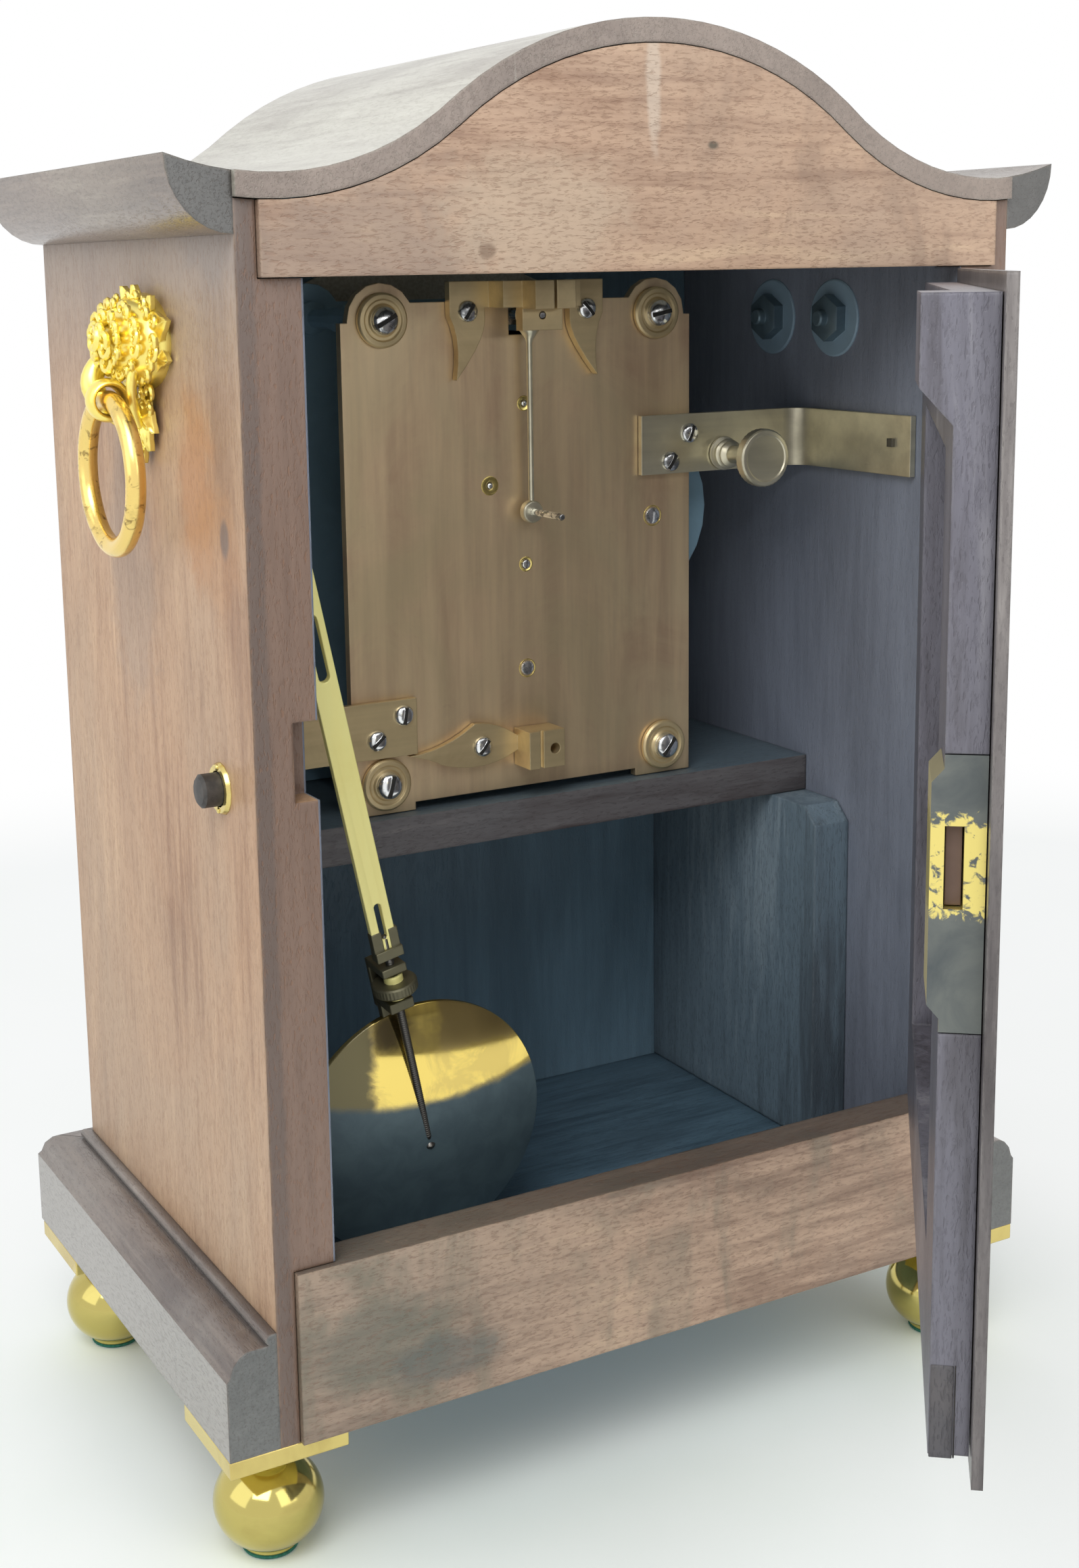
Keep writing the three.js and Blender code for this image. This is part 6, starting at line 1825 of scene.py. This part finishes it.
@dataclass
class Front(Assembly):
    """The dial, hands, bezel and glass on the side away from the door."""

    numerals: Sequence[str] = ("XII", "I", "II", "III", "IIII", "V", "VI", "VII", "VIII", "IX", "X", "XI")
    centre_z: float = 226.0
    face_y: float = -66.7

    def make_bezel(self) -> None:
        """Make the turned bezel."""
        stand = facing_front(place(0, -79.3, self.centre_z))
        body = Body()
        body.turned([(90.2, 0), (90.2, 5.6), (87.5, 5.6), (87.5, 7.4), (88.2, 7.9), (89.4, 8.2),
                     (90.2, 9.6), (92.0, 11.2), (94.0, 11.5), (96.2, 10.9), (97.9, 9.4), (98.4, 8.4),
                     (99.3, 7.9), (100, 7.1),
                     (100, 0), (90.2, 0)], stand, 160, 0)
        lug = Matrix.Translation(place(103.5, -83.5, self.centre_z))
        body.turned([(1.6, -4), (2.6, -4), (2.6, 4), (1.6, 4), (1.6, -4)], lug, 20, 0)
        body.block((-7.5, -2.5, -4), (-1.7, 1.2, 4), lug, 0)
        body.build("bezel_fine", self.named("bright_brass"), "bezel", 0.0, ("bezel",))

    def make_marks(self) -> None:
        """Set the minute marks and the three lines of the chapter ring."""
        body = Body()
        body.block((-0.35, 80.5, 0), (0.35, 84.5, 0.12), HERE)
        stand = facing_front(place(0, self.face_y, self.centre_z))
        places = [stand @ Matrix.Rotation(2 * math.pi * step / 60, 4, "Z") for step in range(60)]
        instanced("minute_marks", body, places, "case", self.named("numerals"))
        rings = Body()
        for inner, outer in ((79.6, 80.0), (85.0, 85.4), (57.6, 58.0)):
            rings.turned([(inner, 0), (outer, 0), (outer, 0.12), (inner, 0.12), (inner, 0)], stand, 128)
        rings.build("chapter_lines", self.named("numerals"), "case")

    def make_numerals(self) -> None:
        """Set the hour numerals."""
        stand = facing_front(place(0, self.face_y, self.centre_z))
        work = bmesh.new()
        for hour, text in enumerate(self.numerals):
            curve = bpy.data.curves.new("numeral", "FONT")
            curve.body = text
            curve.size = 17 * MM
            curve.extrude = 0.06 * MM
            curve.align_x = "CENTER"
            curve.align_y = "CENTER"
            letter = linked("numeral", curve)
            bpy.context.view_layer.update()
            seen = letter.evaluated_get(bpy.context.evaluated_depsgraph_get())
            mesh = bpy.data.meshes.new_from_object(seen)
            around = Matrix.Rotation(-2 * math.pi * hour / 12, 4, "Z")
            outwards = Matrix.Translation((0, 69 * MM, 0.06 * MM))
            narrow = Matrix.Diagonal((0.82, 1.15, 1.0, 1.0))
            mesh.transform(stand @ (around @ outwards) @ narrow)
            work.from_mesh(mesh)
            bpy.data.objects.remove(letter)
            bpy.data.curves.remove(curve)
            bpy.data.meshes.remove(mesh)
        mesh = bpy.data.meshes.new("hour_numerals")
        work.to_mesh(mesh)
        work.free()
        mesh.materials.append(self.finishes["numerals"])
        piece = linked("hour_numerals", mesh)
        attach(piece, "case")

    def make(self) -> None:
        """Make and dress the front."""
        self.dress("silvering", "dial", soften=False)
        self.dress("glass", "bezel_glass", soften=False)
        self.dress("bright_brass", "bezel_hinge")
        self.dress("blued_steel", "minute_hand", "hour_hand", soften=False)
        self.make_bezel()
        self.make_marks()
        self.make_numerals()


@dataclass
class Studio:
    """The pale floor, the light and the camera."""

    eye: Point = (319.3, 562.8, 317.5)
    azimuth: float = 28.9
    pitch: float = 10.8
    roll: float = -0.92
    lens: float = 31.62
    shift: tuple[float, float] = (0.0249, -0.0772)

    def make_camera(self) -> None:
        """Stand the camera where the photograph was taken."""
        turn, tilt, lean = (math.radians(value) for value in (self.azimuth, self.pitch, self.roll))
        ahead = Vector((-math.sin(turn) * math.cos(tilt), -math.cos(turn) * math.cos(tilt),
                        -math.sin(tilt)))
        right = Vector((-math.cos(turn), math.sin(turn), 0))
        above = right.cross(ahead)
        level_right = right * math.cos(lean) + above * math.sin(lean)
        level_up = above * math.cos(lean) - right * math.sin(lean)
        data = bpy.data.cameras.new("camera")
        data.sensor_fit = "VERTICAL"
        data.sensor_height = 24
        data.lens = self.lens
        data.shift_x, data.shift_y = self.shift
        data.clip_start = 0.01
        camera = linked("camera", data)
        basis = Matrix((level_right, level_up, -ahead)).transposed().to_4x4()
        camera.matrix_world = Matrix.Translation(place(*self.eye)) @ basis
        bpy.context.scene.camera = camera

    def make_floor(self) -> None:
        """Lay a pale floor that turns white with distance, and glows where it lies open, as painted light
        that leaves the shadow round the clock dark.
        """
        bpy.ops.mesh.primitive_plane_add(size=8, location=(0, 0, 0))
        floor = bpy.context.object
        floor.name = "floor"
        material, graph, shader, coords = fresh_material("floor_paper")
        value = graph.noise(coords, 9.0, 3.0)
        paper = graph.blend(graph.spread(value, 0.3, 0.7), srgb(238, 246, 240), srgb(244, 250, 246))
        graph.feed(shader.inputs["Base Color"], paper)
        shader.inputs["Roughness"].default_value = 0.55
        white = graph.node("ShaderNodeEmission")
        far = graph.spread(graph.vector("LENGTH", coords)["Value"], 0.32, 0.95)
        # Painted light: ambient occlusion finds the open floor, which then glows white, while the floor
        # near the clock stays in its shadow.
        open_floor = graph.node("ShaderNodeAmbientOcclusion", samples=8)
        open_floor.inputs["Distance"].default_value = 0.2
        painted_floor_light = graph.spread(open_floor.outputs["AO"], 0.5, 0.95, 0.0, 0.72)
        mix = graph.node("ShaderNodeMixShader")
        graph.feed(mix.inputs[0], graph.math("MAXIMUM", far, painted_floor_light))
        graph.feed(mix.inputs[1], shader.outputs[0])
        graph.feed(mix.inputs[2], white.outputs[0])
        output = next(node for node in graph.tree.nodes if node.type == "OUTPUT_MATERIAL")
        graph.feed(output.inputs["Surface"], mix.outputs[0])
        floor.data.materials.append(material)

    def make_light(self) -> None:
        """Light the clock softly from above, behind the camera."""
        world = bpy.data.worlds.new("studio")
        bpy.context.scene.world = world
        world.use_nodes = True
        graph = Graph(world.node_tree)
        soft = graph.node("ShaderNodeBackground")
        soft.inputs["Color"].default_value = (0.92, 0.96, 1.0, 1.0)
        soft.inputs["Strength"].default_value = 0.6
        white = graph.node("ShaderNodeBackground")
        white.inputs["Color"].default_value = (1.0, 1.0, 1.0, 1.0)
        white.inputs["Strength"].default_value = 1.0
        path = graph.node("ShaderNodeLightPath")
        indirect = graph.math("MAXIMUM", path.outputs["Is Glossy Ray"], path.outputs["Is Transmission Ray"])
        seen = graph.math("MAXIMUM", path.outputs["Is Camera Ray"], indirect)
        mix = graph.node("ShaderNodeMixShader")
        graph.feed(mix.inputs[0], seen)
        graph.feed(mix.inputs[1], soft.outputs[0])
        graph.feed(mix.inputs[2], white.outputs[0])
        output = graph.node("ShaderNodeOutputWorld")
        graph.feed(output.inputs["Surface"], mix.outputs[0])
        lamps = (
            ("key", (600, 600, 1000), 7.5, 0.7),
            ("side", (1000, 0, 600), 1.6, 0.8),
            ("back", (-300, 1000, 700), 2.6, 0.8),
        )
        for name, where, power, size in lamps:
            data = bpy.data.lights.new(name, "AREA")
            data.energy = power
            data.size = size
            lamp = linked(name, data)
            spot = place(*where)
            aim = place(0, 0, 180) - spot
            lamp.matrix_world = Matrix.Translation(spot) @ aim.to_track_quat("-Z", "Y").to_matrix().to_4x4()

    def make(self) -> None:
        """Set up the whole studio."""
        bpy.context.scene.view_settings.view_transform = "Standard"
        self.make_camera()
        self.make_floor()
        self.make_light()


def main() -> None:
    """Make the clock's finishes and fine pieces, and the studio round it."""
    logging.basicConfig(level=logging.INFO, format="%(message)s")
    Studio().make()
    finishes = finish_table()
    Case(finishes).make()
    FoliateMount(finishes, "mount_left", 1).make()
    FoliateMount(finishes, "mount_right", -1).make()
    BackDoor(finishes).make()
    Movement(finishes).make()
    Pendulum(finishes).make()
    Front(finishes).make()


if __name__ == "__main__":
    main()
